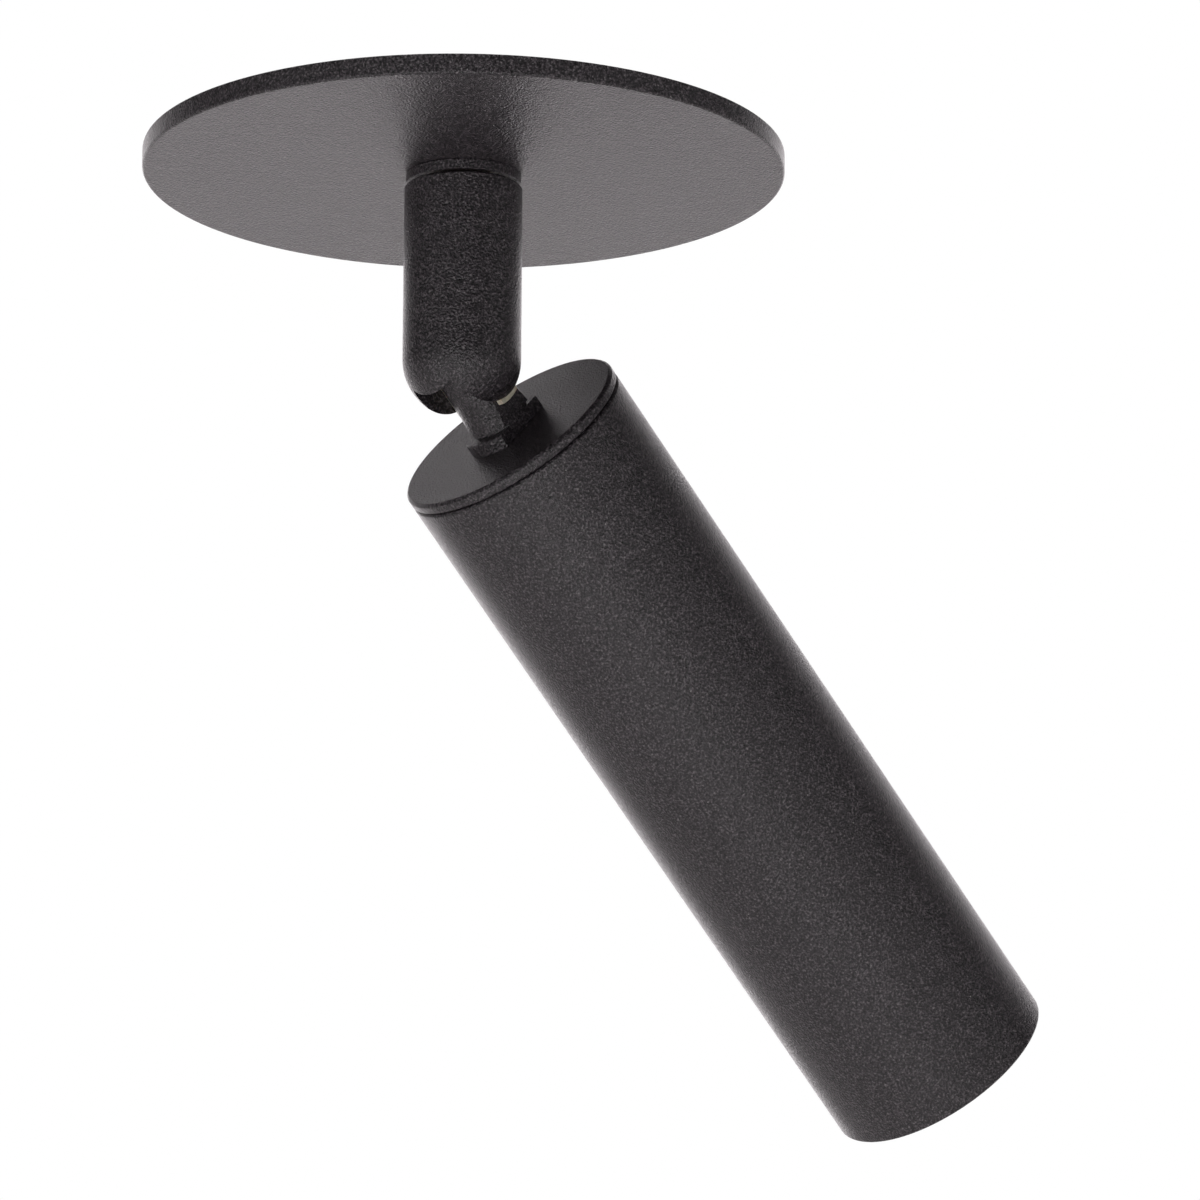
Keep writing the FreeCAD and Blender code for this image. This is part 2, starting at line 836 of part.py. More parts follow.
def fixed_pieces():
    """Everything that stays still at the ceiling."""
    return [
        ceiling_plate(),
        mounting_strap(),
        ring("plate_spacer", bolt_hole_radius, d.spacer_diameter / 2, dish_floor, strap_bottom),
        ring("strap_lock_washer", bolt_hole_radius, d.lock_nut_flats / 2 - d.hole_clearance,
             strap_top, nut_bottom),
        hexagon_nut("strap_lock_nut", d.lock_nut_flats, bolt_radius, nut_bottom, d.lock_nut_thickness),
        ring("collar_ring", bolt_radius, d.collar_diameter / 2, collar_bottom, plate_bottom),
        swivel_bolt(),
        pan_stop_pin(),
        terminal_block(),
        terminal_screws(),
        terminal_stud(),
        earth_screw(),
        earth_washer(),
        supply_leads(),
    ]


# ---------------------------------------------------------------- pieces that turn with the stem


def stem():
    """The turned stem, bored from above, with a domed end that is slotted for the knuckle."""
    dome_centre = d.pivot_below_dome_centre - d.pivot_depth
    body = new_body("stem_turning")
    corners = [(0, stem_top), (stem_radius, stem_top), (stem_radius, dome_centre)]
    turn(body, "turning", lambda sketch: add_domed_outline(sketch, corners, dome_centre))
    break_edges(body, "upper_edge", "Chamfer", d.stem_edge_break, circle_at(stem_radius, stem_top))
    pocket(
        body, "bore", lambda sketch: add_circle(sketch, (0, 0), stem_bore_radius),
        stem_top, stem_top - bore_floor,
    )
    pocket(
        body, "wire_hole", lambda sketch: add_circle(sketch, (0, 0), d.stem_wire_hole / 2),
        bore_floor, bore_floor + d.pivot_depth,
    )
    lug_start = stop_radius - d.stop_pin_diameter / 2
    lug_length = stem_bore_radius + d.moving_gap - lug_start
    pad(
        body, "stop_lug",
        lambda sketch: add_polygon(sketch, rectangle(
            (lug_start + lug_length / 2, 0), lug_length, d.stop_lug_width)),
        flange_bottom - bore_floor - d.moving_gap, bore_floor,
    )
    return cut("stem", body, joined("stem_cuts", knuckle_slot() + tilt_screw_holes()))


def knuckle_slot():
    """The slot across the dome: round above the pivot, open below it and towards +X."""
    outward = stem_radius + d.inner_gap
    width = 2 * half_slot
    top = lay_along_y(cylinder("slot_top", slot_radius, width))
    move(top, 0, -half_slot, -d.pivot_depth)
    below = box("slot_below", slot_radius + outward, width, outward)
    move(below, -slot_radius, -half_slot, -(d.pivot_depth + outward))
    front = box("slot_front", outward, width, slot_radius)
    move(front, 0, -half_slot, -d.pivot_depth)
    return [top, below, front]


def tilt_screw_holes():
    """The tilt screw's threaded blind hole, its clearance hole and the well for its head."""
    thread_end = stem_radius - d.tilt_screw_tip_wall
    thread = lay_along_y(cylinder("tilt_thread", screw_radius, thread_end))
    move(thread, 0, -thread_end, -d.pivot_depth)
    clearance = lay_along_y(cylinder("tilt_clearance", screw_hole_radius, stem_radius))
    move(clearance, 0, 0, -d.pivot_depth)
    well = cylinder("tilt_head_well", d.tilt_screw_head / 2 + d.hole_clearance, stem_radius)
    lay_along_y(well)
    move(well, 0, screw_seat, -d.pivot_depth)
    return [thread, clearance, well]


def stem_retaining_ring():
    """The brass ring screwed into the stem's bore, which the stem hangs by."""
    body = ring(
        "stem_retaining_ring", bolt_radius + d.swivel_clearance,
        stem_bore_radius - d.slip_clearance, ring_bottom, ring_top,
    )
    hole_place = (bolt_radius + stem_bore_radius) / 2
    for index in range(SPANNER_HOLES):
        side = 1.0 - 2.0 * index
        pocket(
            body, f"spanner_hole_{index + 1}",
            lambda sketch: add_circle(sketch, (side * hole_place, 0), d.spanner_hole / 2),
            ring_top, d.ring_thickness / 2,
        )
    return body


def tilt_screw():
    """The socket screw that the head tilts on, put in from the back cheek."""
    seat = screw_seat + d.tilt_washer_thickness
    top = seat + d.tilt_screw_head_height
    body = screw_body(
        "tilt_screw", -screw_tip, seat, top,
        screw_radius, d.tilt_screw_head / 2,
    )
    pocket(
        body, "key_recess", lambda sketch: add_polygon(sketch, hexagon(d.tilt_screw_key)),
        top, d.tilt_screw_key_depth,
    )
    return on_tilt_axis(body)


def on_tilt_axis(item):
    """Lay a piece made upright along the tilt axis."""
    lay_along_y(item)
    bind(item, "Placement.Base.z", -d.pivot_depth)
    return item


def stem_pieces():
    """Everything that turns with the stem."""
    return [
        stem(),
        stem_retaining_ring(),
        ring("wave_washer", bolt_hole_radius, flange_radius - d.wave_washer_inset,
             flange_top, ring_bottom),
        tilt_screw(),
        on_tilt_axis(ring("tilt_spring_washer", screw_hole_radius,
                          d.tilt_screw_head / 2 - d.hole_clearance,
                          screw_seat, screw_seat + d.tilt_washer_thickness)),
    ]


# ---------------------------------------------------------------- pieces that tilt with the head


def knuckle():
    """The knuckle: a turned neck on a round flange, milled to a tongue with a half round end."""
    thread_radius = d.knuckle_thread / 2
    flange_top_level = along(-d.knuckle_flange_height)
    groove_top_level = flange_top_level + d.knuckle_groove_height
    groove_radius = d.knuckle_foot_radius - d.knuckle_groove_depth
    foot = along(knuckle_end)
    top = knuckle_end_radius + d.inner_gap
    turned = turned_piece("knuckle_turning", [
        (0, foot),
        (thread_radius, foot),
        (thread_radius, along(0)),
        (d.knuckle_flange_radius, along(0)),
        (d.knuckle_flange_radius, flange_top_level),
        (groove_radius, flange_top_level),
        (groove_radius, groove_top_level),
        (d.knuckle_foot_radius, groove_top_level),
        (d.knuckle_top_radius, -d.knuckle_taper_start),
        (d.knuckle_top_radius, top),
        (0, top),
    ])
    break_edges(
        turned, "flange_edge", "Chamfer", d.knuckle_edge_break,
        circle_at(d.knuckle_flange_radius, flange_top_level),
    )
    pocket(
        turned, "bore", lambda sketch: add_circle(sketch, (0, 0), d.knuckle_bore / 2),
        top, top - foot,
    )
    reach = d.knuckle_flange_radius + d.inner_gap
    below_pivot = box("knuckle_below_pivot", 2 * reach, d.knuckle_flats, -foot)
    move(below_pivot, -reach, -half_flats, foot)
    round_end = lay_along_y(cylinder("knuckle_round_end", knuckle_end_radius, d.knuckle_flats))
    move(round_end, 0, -half_flats, 0)
    milled = document.addObject("Part::Common", "knuckle_milled")
    milled.Base = turned
    milled.Tool = joined("knuckle_tongue", [below_pivot, round_end])
    screw_hole = lay_along_y(cylinder("knuckle_screw_hole", screw_hole_radius, 2 * reach))
    move(screw_hole, 0, -reach, 0)
    return hang(cut("knuckle", milled, screw_hole))


def friction_pad(label, inner_face):
    """A nylon pad as wide as the knuckle's flat, round at the top and rounded off at its foot."""
    half_width = root(d.knuckle_top_radius * d.knuckle_top_radius - half_flats * half_flats)
    strip = box(f"{label}_strip", 2 * half_width, d.friction_pad_thickness, d.friction_pad_reach)
    move(strip, -half_width, inner_face, -d.friction_pad_reach)
    crown = lay_along_y(cylinder(f"{label}_crown", half_width, d.friction_pad_thickness))
    move(crown, 0, inner_face, 0)
    reach = lay_along_y(cylinder(f"{label}_reach", d.friction_pad_reach, d.friction_pad_thickness))
    move(reach, 0, inner_face, 0)
    outline = document.addObject("Part::Common", f"{label}_outline")
    outline.Base = joined(f"{label}_blank", [strip, crown])
    outline.Tool = reach
    hole = lay_along_y(cylinder(f"{label}_hole", screw_hole_radius, 3 * d.friction_pad_thickness))
    move(hole, 0, inner_face - d.friction_pad_thickness, 0)
    return hang(cut(label, outline, hole))


def cable_grommet():
    """The rubber bush in the end of the knuckle's bore."""
    bore_radius = d.wire_spacing / 2 + wire_radius + d.hole_clearance
    plug_radius = d.knuckle_bore / 2 - d.slip_clearance
    return hang(turned_piece("cable_grommet", [
        (bore_radius, along(knuckle_end + d.grommet_lip)),
        (d.knuckle_thread / 2, along(knuckle_end + d.grommet_lip)),
        (d.knuckle_thread / 2, along(knuckle_end)),
        (plug_radius, along(knuckle_end)),
        (plug_radius, along(knuckle_end - d.grommet_depth)),
        (bore_radius, along(knuckle_end - d.grommet_depth)),
    ]))


def tube_cap():
    """The turned cap that closes the tube, with a shadow groove and a threaded skirt inside."""
    hole_radius = d.knuckle_thread / 2 + d.hole_clearance
    groove_radius = tube_radius - d.cap_groove_depth
    skirt_inner = fit_radius - d.cap_skirt_wall
    body = turned_piece("tube_cap", [
        (hole_radius, along(0)),
        (tube_radius, along(0)),
        (tube_radius, along(d.cap_band)),
        (groove_radius, along(d.cap_band)),
        (groove_radius, along(tube_start)),
        (fit_radius, along(tube_start)),
        (fit_radius, along(d.cap_skirt_end)),
        (skirt_inner, along(d.cap_skirt_end)),
        (skirt_inner, along(d.cap_thickness)),
        (hole_radius, along(d.cap_thickness)),
    ])
    break_edges(body, "upper_edge", "Chamfer", d.cap_edge_break, circle_at(tube_radius, along(0)))
    return hang(body)


def tube_body():
    """The plain cut length of aluminium tube."""
    body = ring("tube_body", tube_bore_radius, tube_radius, along(d.head_length), along(tube_start))
    break_edges(body, "end_edges", "Chamfer", d.tube_edge_break, circle_at(tube_radius, None))
    return hang(body)


def driver_sleeve():
    """The insulating sleeve round the driver, with rails that hold the board's edges."""
    middle = fit_radius - d.sleeve_wall / 2
    body = ring(
        "driver_sleeve", sleeve_inner_radius, fit_radius, along(heat_sink_start), along(d.cap_skirt_end))
    rail_start = board_half_width - d.board_rail_depth
    rail_shift = (d.board_thickness + d.board_rail_width) / 2 + d.running_clearance
    for face, across in (("upper", rail_shift), ("lower", -rail_shift)):
        centre_y = across - d.board_offset
        rail_end = root(middle * middle - centre_y * centre_y)
        for side, sign in (("left", -1.0), ("right", 1.0)):
            centre_x = sign * (rail_start + rail_end) / 2
            pad(
                body, f"{face}_{side}_rail",
                lambda sketch: add_polygon(sketch, rectangle(
                    (centre_x, centre_y), rail_end - rail_start, d.board_rail_width)),
                sleeve_length, along(heat_sink_start),
            )
    return hang(body)


def driver_board():
    """The driver's circuit board."""
    body = new_body("driver_board")
    pad(
        body, "board",
        lambda sketch: add_polygon(
            sketch, rectangle((0, -d.board_offset), 2 * board_half_width, d.board_thickness)),
        board_end - board_start, along(board_end),
    )
    return hang(body)


def driver_connector(label, width, start):
    """A moulded connector that stands on the board round the head's axis."""
    body = new_body(label)
    depth = d.connector_top - board_face
    pad(
        body, "moulding",
        lambda sketch: add_polygon(
            sketch, rectangle((0, board_face + depth / 2), width, depth)),
        d.connector_length, along(start + d.connector_length),
    )
    return hang(body)


def driver_transformer():
    """The transformer: a square ferrite core round a wider, lower winding, standing on the board."""
    middle = along(transformer_end - d.transformer_length / 2)
    core = box("transformer_core", d.transformer_width, d.transformer_height, d.transformer_length)
    move(core, -d.transformer_width / 2, board_face, middle - d.transformer_length / 2)
    winding = box("transformer_winding", d.winding_width, d.winding_height, d.winding_length)
    move(winding, -d.winding_width / 2, board_face, middle - d.winding_length / 2)
    return hang(group("driver_transformer", [joined("core_and_winding", [core, winding])]))


def driver_capacitors():
    """The two capacitors, lying on the board."""
    end = along(capacitor_start + d.capacitor_length)
    cans = []
    for index, side in enumerate((-1.0, 1.0), start=1):
        can = cylinder(f"capacitor_{index}", d.capacitor_radius, d.capacitor_length)
        move(can, side * d.capacitor_spacing / 2, board_face + d.capacitor_radius, end)
        cans.append(can)
    return hang(group("driver_capacitors", cans))


def head_leads():
    """The wires from the knuckle's bore to the driver."""
    top = -(d.tilt_screw_diameter + d.moving_gap).number
    routes = []
    for side in (-1.0, 1.0):
        x = side * d.wire_spacing.number / 2
        routes.append([VECTOR(x, 0, top), VECTOR(x, 0, along(board_start).number)])
    return hang(wire_pair("head_leads", routes))


def heat_sink():
    """The finned aluminium slug behind the light source, which fits the tube's bore."""
    base_top = along(heat_sink_end - d.heat_sink_base)
    top = along(heat_sink_start)
    core_radius = d.heat_sink_core / 2
    body = turned_piece("heat_sink", [
        (0, along(heat_sink_end)),
        (fit_radius, along(heat_sink_end)),
        (fit_radius, base_top),
        (core_radius, base_top),
        (core_radius, top),
        (0, top),
    ])
    fin_end = root(fit_radius * fit_radius - d.fin_thickness * d.fin_thickness / 4)
    half_pitch = math.radians(FULL_TURN / FIN_COUNT / 2)
    fin = pad(
        body, "fin",
        lambda sketch: add_polygon(sketch, [
            (x * math.cos(half_pitch) - y * math.sin(half_pitch),
             x * math.sin(half_pitch) + y * math.cos(half_pitch))
            for x, y in (
                (core_radius / 2, -d.fin_thickness / 2),
                (fin_end, -d.fin_thickness / 2),
                (fin_end, d.fin_thickness / 2),
                (core_radius / 2, d.fin_thickness / 2),
            )
        ]),
        top - base_top, base_top,
    )
    fins = body.newObject("PartDesign::PolarPattern", "fins")
    fins.Originals = [fin]
    fins.Axis = (fin.Profile[0], ["N_Axis"])
    fins.Angle = FULL_TURN
    fins.Occurrences = FIN_COUNT
    body.Tip = fins
    document.recompute()
    for name, side in (("left", -1.0), ("right", 1.0)):
        pocket(
            body, f"{name}_wire_hole",
            lambda sketch: add_circle(sketch, (side * led_wire_place, 0), d.wire_hole / 2),
            base_top, d.heat_sink_base,
        )
        pocket(
            body, f"{name}_screw_hole",
            lambda sketch: add_circle(
                sketch, (0, side * holder_screw_place), d.holder_screw_diameter / 2),
            along(heat_sink_end - screw_depth), screw_depth,
        )
    return hang(body)


def square_slab(label, side, start, thickness):
    """A square slab across the head's axis."""
    body = new_body(label)
    pad(
        body, "slab", lambda sketch: add_polygon(sketch, rectangle((0, 0), side, side)),
        thickness, along(start + thickness),
    )
    return hang(body)


def led_holder():
    """The moulded ring that clamps the light source to the heat sink."""
    front = along(reflector_start)
    back = along(heat_sink_end)
    body = ring("led_holder", d.holder_window / 2, holder_radius, front, back)
    pocket(
        body, "chip_recess",
        lambda sketch: add_polygon(
            sketch, rectangle((0, 0), chip_clearance_side, chip_clearance_side)),
        back, d.pad_thickness + d.led_thickness,
    )
    for name, sign in (("left", -1.0), ("right", 1.0)):
        place = (0, sign * holder_screw_place)
        pocket(
            body, f"{name}_screw_hole",
            lambda sketch: add_circle(
                sketch, place, d.holder_screw_diameter / 2 + d.hole_clearance),
            back, d.holder_thickness,
        )
        pocket(
            body, f"{name}_head_well",
            lambda sketch: add_circle(sketch, place, screw_well_radius),
            front + d.holder_screw_head_height, d.holder_screw_head_height,
        )
        pocket(
            body, f"{name}_wire_well",
            lambda sketch: add_circle(sketch, (sign * led_wire_place, 0), d.wire_hole / 2),
            back, d.wire_hole,
        )
    return hang(body)


def holder_screws():
    """The two screws that pull the holder against the heat sink."""
    top = along(reflector_start)
    seat = top + d.holder_screw_head_height
    tip = along(heat_sink_end - screw_depth)
    screws = []
    for index, side in enumerate((-1.0, 1.0), start=1):
        body = screw_body(
            f"holder_screw_{index}", tip, seat, top,
            d.holder_screw_diameter / 2, d.holder_screw_head / 2,
        )
        screws.append(move(body, 0, side * holder_screw_place))
    return hang(group("led_holder_screws", screws))


def led_leads():
    """The two wires from the driver through the heat sink to the light source."""
    end = along(heat_sink_end).number - d.wire_hole.number / 2
    routes = []
    for side in (-1.0, 1.0):
        x = side * led_wire_place.number
        routes.append([VECTOR(x, 0, along(board_end).number), VECTOR(x, 0, end)])
    return hang(wire_pair("led_leads", routes))


def reflector():
    """The thin conical reflector, which stands on the holder and hangs by a rim at its mouth."""
    throat = d.holder_window / 2
    rim_start = along(gasket_start - d.reflector_rim)
    return hang(turned_piece("reflector", [
        (throat, along(reflector_start)),
        (mouth_radius, along(gasket_start)),
        (fit_radius, along(gasket_start)),
        (fit_radius, rim_start),
        (mouth_radius + d.reflector_wall, rim_start),
        (throat + d.reflector_wall, along(reflector_start)),
    ]))


def baffle_ring():
    """The black stepped ring screwed into the tube's mouth, which holds the glass."""
    wide = tube_bore_radius - d.baffle_mouth_wall
    corners = [(fit_radius, along(baffle_end)), (fit_radius, along(baffle_start))]
    for step in range(BAFFLE_STEPS):
        radius = mouth_radius + (wide - mouth_radius) * step / (BAFFLE_STEPS - 1)
        corners.append((radius, along(baffle_start + d.baffle_length * step / BAFFLE_STEPS)))
        corners.append((radius, along(baffle_start + d.baffle_length * (step + 1) / BAFFLE_STEPS)))
    return hang(turned_piece("baffle_ring", corners))


def head_pieces():
    """Everything that tilts with the lamp head, from the knuckle to the light end."""
    washer_end = d.cap_thickness + d.knuckle_washer_thickness
    thread_radius = d.knuckle_thread / 2
    led_start = heat_sink_end + d.pad_thickness
    light_start = led_start + d.led_thickness
    light_end = light_start + d.led_light_height
    return [
        knuckle(),
        friction_pad("friction_pad_front", -(half_flats + d.friction_pad_thickness)),
        friction_pad("friction_pad_back", half_flats),
        hang(ring("knuckle_washer", thread_radius + d.hole_clearance,
                  d.knuckle_washer_diameter / 2, along(washer_end), along(d.cap_thickness))),
        hang(hexagon_nut("knuckle_nut", d.knuckle_nut_flats, thread_radius,
                         along(washer_end + d.knuckle_nut_thickness), d.knuckle_nut_thickness)),
        cable_grommet(),
        tube_cap(),
        tube_body(),
        driver_sleeve(),
        driver_board(),
        driver_connector("driver_input_connector", d.input_connector_width, board_start),
        driver_connector("driver_output_connector", d.output_connector_width,
                         board_end - d.connector_length),
        driver_transformer(),
        driver_capacitors(),
        head_leads(),
        heat_sink(),
        square_slab("thermal_pad", d.led_side, heat_sink_end, d.pad_thickness),
        square_slab("led_chip", d.led_side, led_start, d.led_thickness),
        hang(turned_piece("led_phosphor", [
            (0, along(light_end)),
            (d.led_light_diameter / 2, along(light_end)),
            (d.led_light_diameter / 2, along(light_start)),
            (0, along(light_start)),
        ])),
        led_holder(),
        holder_screws(),
        led_leads(),
        reflector(),
        hang(ring("glass_gasket", fit_radius - d.gasket_width, fit_radius,
                  along(glass_start), along(gasket_start))),
        hang(turned_piece("front_glass", [
            (0, along(baffle_start)),
            (fit_radius, along(baffle_start)),
            (fit_radius, along(glass_start)),
            (0, along(glass_start)),
        ])),
        baffle_ring(),
    ]


# ---------------------------------------------------------------- build, check and write

pieces = fixed_pieces() + stem_pieces() + head_pieces()
document.recompute()
for item in document.Objects:
    if "Invalid" in item.State or "Error" in item.State:
        raise RuntimeError(f"{item.Label} failed: {item.State}")
for piece in pieces:
    if piece.Shape.isNull() or not piece.Shape.isValid():
        raise RuntimeError(f"{piece.Label} has no valid shape")
os.makedirs("parts", exist_ok=True)
for piece in pieces:
    piece.Shape.exportStep(f"parts/{piece.Label}.step")
    print(f"{piece.Label}: {len(piece.Shape.Solids)} solids, {piece.Shape.Volume:.1f} mm3")
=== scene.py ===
import math

import bpy
from mathutils import Matrix, Vector


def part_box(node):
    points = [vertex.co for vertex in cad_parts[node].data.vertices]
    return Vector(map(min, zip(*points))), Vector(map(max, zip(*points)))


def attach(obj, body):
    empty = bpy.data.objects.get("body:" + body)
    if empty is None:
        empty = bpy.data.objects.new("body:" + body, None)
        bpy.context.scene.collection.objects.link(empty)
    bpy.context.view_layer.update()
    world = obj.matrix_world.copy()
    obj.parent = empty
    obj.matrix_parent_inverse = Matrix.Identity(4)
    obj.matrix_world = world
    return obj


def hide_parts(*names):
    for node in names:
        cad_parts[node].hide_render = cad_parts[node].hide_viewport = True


# A surface mounted ceiling spotlight: thin round ceiling plate, short stem with a slotted dome, and
# a cylindrical lamp head that tilts in it. The pieces come in the order in which they are put
# together, from the ceiling down to the light's mouth. Lengths are in metres.

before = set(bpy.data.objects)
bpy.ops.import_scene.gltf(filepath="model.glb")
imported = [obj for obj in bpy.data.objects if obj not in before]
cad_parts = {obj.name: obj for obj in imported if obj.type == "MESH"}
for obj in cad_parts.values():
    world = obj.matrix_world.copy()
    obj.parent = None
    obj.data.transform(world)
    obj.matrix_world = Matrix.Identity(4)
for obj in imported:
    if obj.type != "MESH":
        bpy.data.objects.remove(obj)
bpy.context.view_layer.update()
bpy.ops.object.select_all(action="DESELECT")

# ------------------------------------------------------------------ ceiling plate
# The plate is a shallow dish turned from aluminium, 106 mm across, with a wide flat underside.
# Like the collar, stem, knuckle, cap and tube it has a fine textured black powder coat.

PLATE_RADIUS = 0.053
PLATE_RIM = 0.003
PLATE_HOLE_RADIUS = 0.0051
PLATE_UNDERSIDE = -0.0033
DISH_FLOOR = -0.0023
PLATE_EDGE_BREAK = 0.00025
COAT_ROUNDING = 0.00015
COAT_GRAIN = 0.00038
COAT_PEEL = 0.0022
COAT_CLOUD = 0.018
# Spacing of the painted glints: pale specks in the coat's colour that stand for highlights on its grain.
COAT_GLINT_SPACING = 0.005
COAT_RELIEF = 0.0003
SHARP = math.radians(35)
WELD = 1e-7
FINE_STEPS = 144
MEDIUM_STEPS = FINE_STEPS // 2
PLACE_OUTPUT = 3


class Term:
    """A node's output, with which node sums are written as Python sums."""

    def __init__(self, finish, socket):
        self.finish = finish
        self.socket = socket

    def maths(self, operation, first, second):
        return self.finish.node("ShaderNodeMath", {"operation": operation}, first, second)

    def __add__(self, other):
        return self.maths("ADD", self, other)

    def __radd__(self, other):
        return self.maths("ADD", other, self)

    def __sub__(self, other):
        return self.maths("SUBTRACT", self, other)

    def __rsub__(self, other):
        return self.maths("SUBTRACT", other, self)

    def __mul__(self, other):
        return self.maths("MULTIPLY", self, other)

    def __rmul__(self, other):
        return self.maths("MULTIPLY", other, self)


class Nodes:
    """A node tree that is written as calls and sums."""

    def __init__(self, tree):
        self.tree = tree

    def feed(self, socket, value):
        if isinstance(value, Term):
            self.tree.links.new(value.socket, socket)
        else:
            socket.default_value = value

    def node(self, kind, settings, *values, output=0, **named):
        made = self.tree.nodes.new(kind)
        for name, setting in settings.items():
            if name == "stops":
                ramp = made.color_ramp.elements
                while len(ramp) < len(setting):
                    ramp.new(1.0)
                for stop, (place, colour) in zip(ramp, setting):
                    stop.position = place
                    stop.color = (*colour, 1.0)
            else:
                setattr(made, name, setting)
        for index, value in enumerate(values):
            self.feed(made.inputs[index], value)
        for name, value in named.items():
            self.feed(made.inputs[name.replace("_", " ")], value)
        return Term(self, made.outputs[output])


class Finish(Nodes):
    """A material made of nodes round one surface shader."""

    def __init__(self, name, **constants):
        self.material = bpy.data.materials.new(name)
        self.material.use_nodes = True
        super().__init__(self.material.node_tree)
        self.shader = self.tree.nodes["Principled BSDF"]
        for socket, value in constants.items():
            self.shader.inputs[socket.replace("_", " ")].default_value = value

    def place(self):
        """Where on the piece, in metres."""
        return self.node("ShaderNodeTexCoord", {}, output=PLACE_OUTPUT)

    def noise(self, size, detail=3.0, roughness=0.5):
        """Cloudy noise, from 0 to 1, whose clouds are about as large as size."""
        return self.node("ShaderNodeTexNoise", {}, Vector=self.place(), Scale=1.0 / size,
                         Detail=detail, Roughness=roughness)

    def cells(self, size, feature="F1"):
        """Distance, in cells, to the nearest of many scattered points, about size apart."""
        return self.node("ShaderNodeTexVoronoi", {"feature": feature}, Vector=self.place(),
                         Scale=1.0 / size)

    def ramp(self, value, *stops):
        return self.node("ShaderNodeValToRGB", {"stops": stops}, value)

    def step(self, value, start, end):
        """Nought below start, one above end and an even slope between them."""
        return self.node("ShaderNodeMapRange", {}, value, start, end, 0.0, 1.0)

    def colour(self, value, *stops):
        self.feed(self.shader.inputs["Base Color"], self.ramp(value, *stops))

    def roughness(self, value):
        self.feed(self.shader.inputs["Roughness"], value)

    def bump(self, height, distance):
        """Raise the surface by distance where height is one."""
        raised = self.node("ShaderNodeBump", {}, Height=height, Strength=1.0, Distance=distance)
        self.feed(self.shader.inputs["Normal"], raised)

    def tooled(self, direction, scale, distortion, detail, depth):
        """Raise close tool marks that follow each other along one direction."""
        marks = self.node("ShaderNodeTexWave", {"bands_direction": direction}, Vector=self.place(),
                          Scale=scale, Distortion=distortion, Detail=detail)
        self.bump(marks, depth)
        return self

    def coat(self, *names):
        """Put this finish on CAD nodes."""
        for name in names:
            self.on(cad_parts[name])

    def on(self, piece):
        """Put this finish on one piece."""
        piece.data.materials.clear()
        piece.data.materials.append(self.material)
        return piece


def powder_coat():
    """Black powder coat: grains under half a millimetre, a slow orange peel and rare pale specks that are
    painted glints.
    """
    finish = Finish("black powder coat", Specular_IOR_Level=0.5)
    grain = finish.noise(COAT_GRAIN, detail=1.0, roughness=0.6)
    peel = finish.noise(COAT_PEEL, detail=1.0)
    cloud = finish.noise(COAT_CLOUD)
    # The rare pale specks are painted glints: highlights of light on the grain, put into the coat's colour by
    # the last colour stop.
    painted_glint = 1.0 - finish.step(finish.cells(COAT_GLINT_SPACING), 0.016, 0.024)
    shade = grain * 0.95 + cloud * 0.05
    finish.colour(shade + painted_glint, (0.36, (0.0015, 0.0012, 0.0016)), (0.5, (0.018, 0.0150, 0.0175)),
                  (0.64, (0.066, 0.056, 0.063)), (1.0, (0.30, 0.29, 0.28)))
    finish.roughness(0.2 + 0.32 * grain)
    finish.bump(grain * 0.9 + peel * 0.25, COAT_RELIEF)
    return finish


black_coat = powder_coat()


def alone(piece):
    """Select one piece only, and make it the one that is worked on."""
    bpy.ops.object.select_all(action="DESELECT")
    piece.select_set(True)
    bpy.context.view_layer.objects.active = piece
    return piece


def drawn(name, points, closed=True):
    """A line drawn from point to point by extruding one corner, left in edit mode."""
    bpy.ops.object.select_all(action="DESELECT")
    bpy.ops.mesh.primitive_plane_add(size=PLATE_EDGE_BREAK)
    piece = bpy.context.object
    piece.name = name
    bpy.ops.object.mode_set(mode="EDIT")
    bpy.ops.mesh.merge(type="CENTER")
    here = Vector(points[0])
    bpy.ops.transform.translate(value=here)
    for point in points[1:] + points[:1] * closed:
        there = Vector(point)
        bpy.ops.mesh.extrude_region_move(TRANSFORM_OT_translate={"value": there - here})
        here = there
    bpy.ops.mesh.select_all(action="SELECT")
    bpy.ops.mesh.remove_doubles(threshold=WELD)
    return piece


def faced_outwards(piece):
    """Turn the faces of the mesh in edit mode outwards and leave edit mode."""
    bpy.ops.mesh.select_all(action="SELECT")
    bpy.ops.mesh.normals_make_consistent(inside=False)
    bpy.ops.object.mode_set(mode="OBJECT")
    return piece


def turned(name, outline, steps, closed=True):
    """Spin an outline of radius and height about the upright axis, as a lathe would."""
    piece = drawn(name, [(radius, 0.0, height) for radius, height in outline], closed)
    bpy.ops.mesh.spin(steps=steps, angle=math.tau, center=(0.0, 0.0, 0.0), axis=(0.0, 0.0, 1.0))
    bpy.ops.mesh.select_all(action="SELECT")
    bpy.ops.mesh.remove_doubles(threshold=WELD)
    return faced_outwards(piece)


def shaped(piece, kind, **settings):
    """Add one modifier with its settings and apply it."""
    alone(piece)
    modifier = piece.modifiers.new(kind.lower(), kind)
    for setting, value in settings.items():
        setattr(modifier, setting, value)
    bpy.ops.object.modifier_apply(modifier=modifier.name)
    return piece


def softened(piece, width=COAT_ROUNDING):
    """Smooth the round faces and round off every sharp edge."""
    alone(piece)
    bpy.ops.object.shade_smooth_by_angle(angle=SHARP)
    return shaped(piece, "BEVEL", width=width, segments=2, limit_method="ANGLE", angle_limit=SHARP,
                  harden_normals=True)


def stands_for(piece, finish, node, body):
    """Finish a piece and put it in the place of a CAD node."""
    finish.on(piece)
    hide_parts(node)
    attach(piece, body)
    return piece


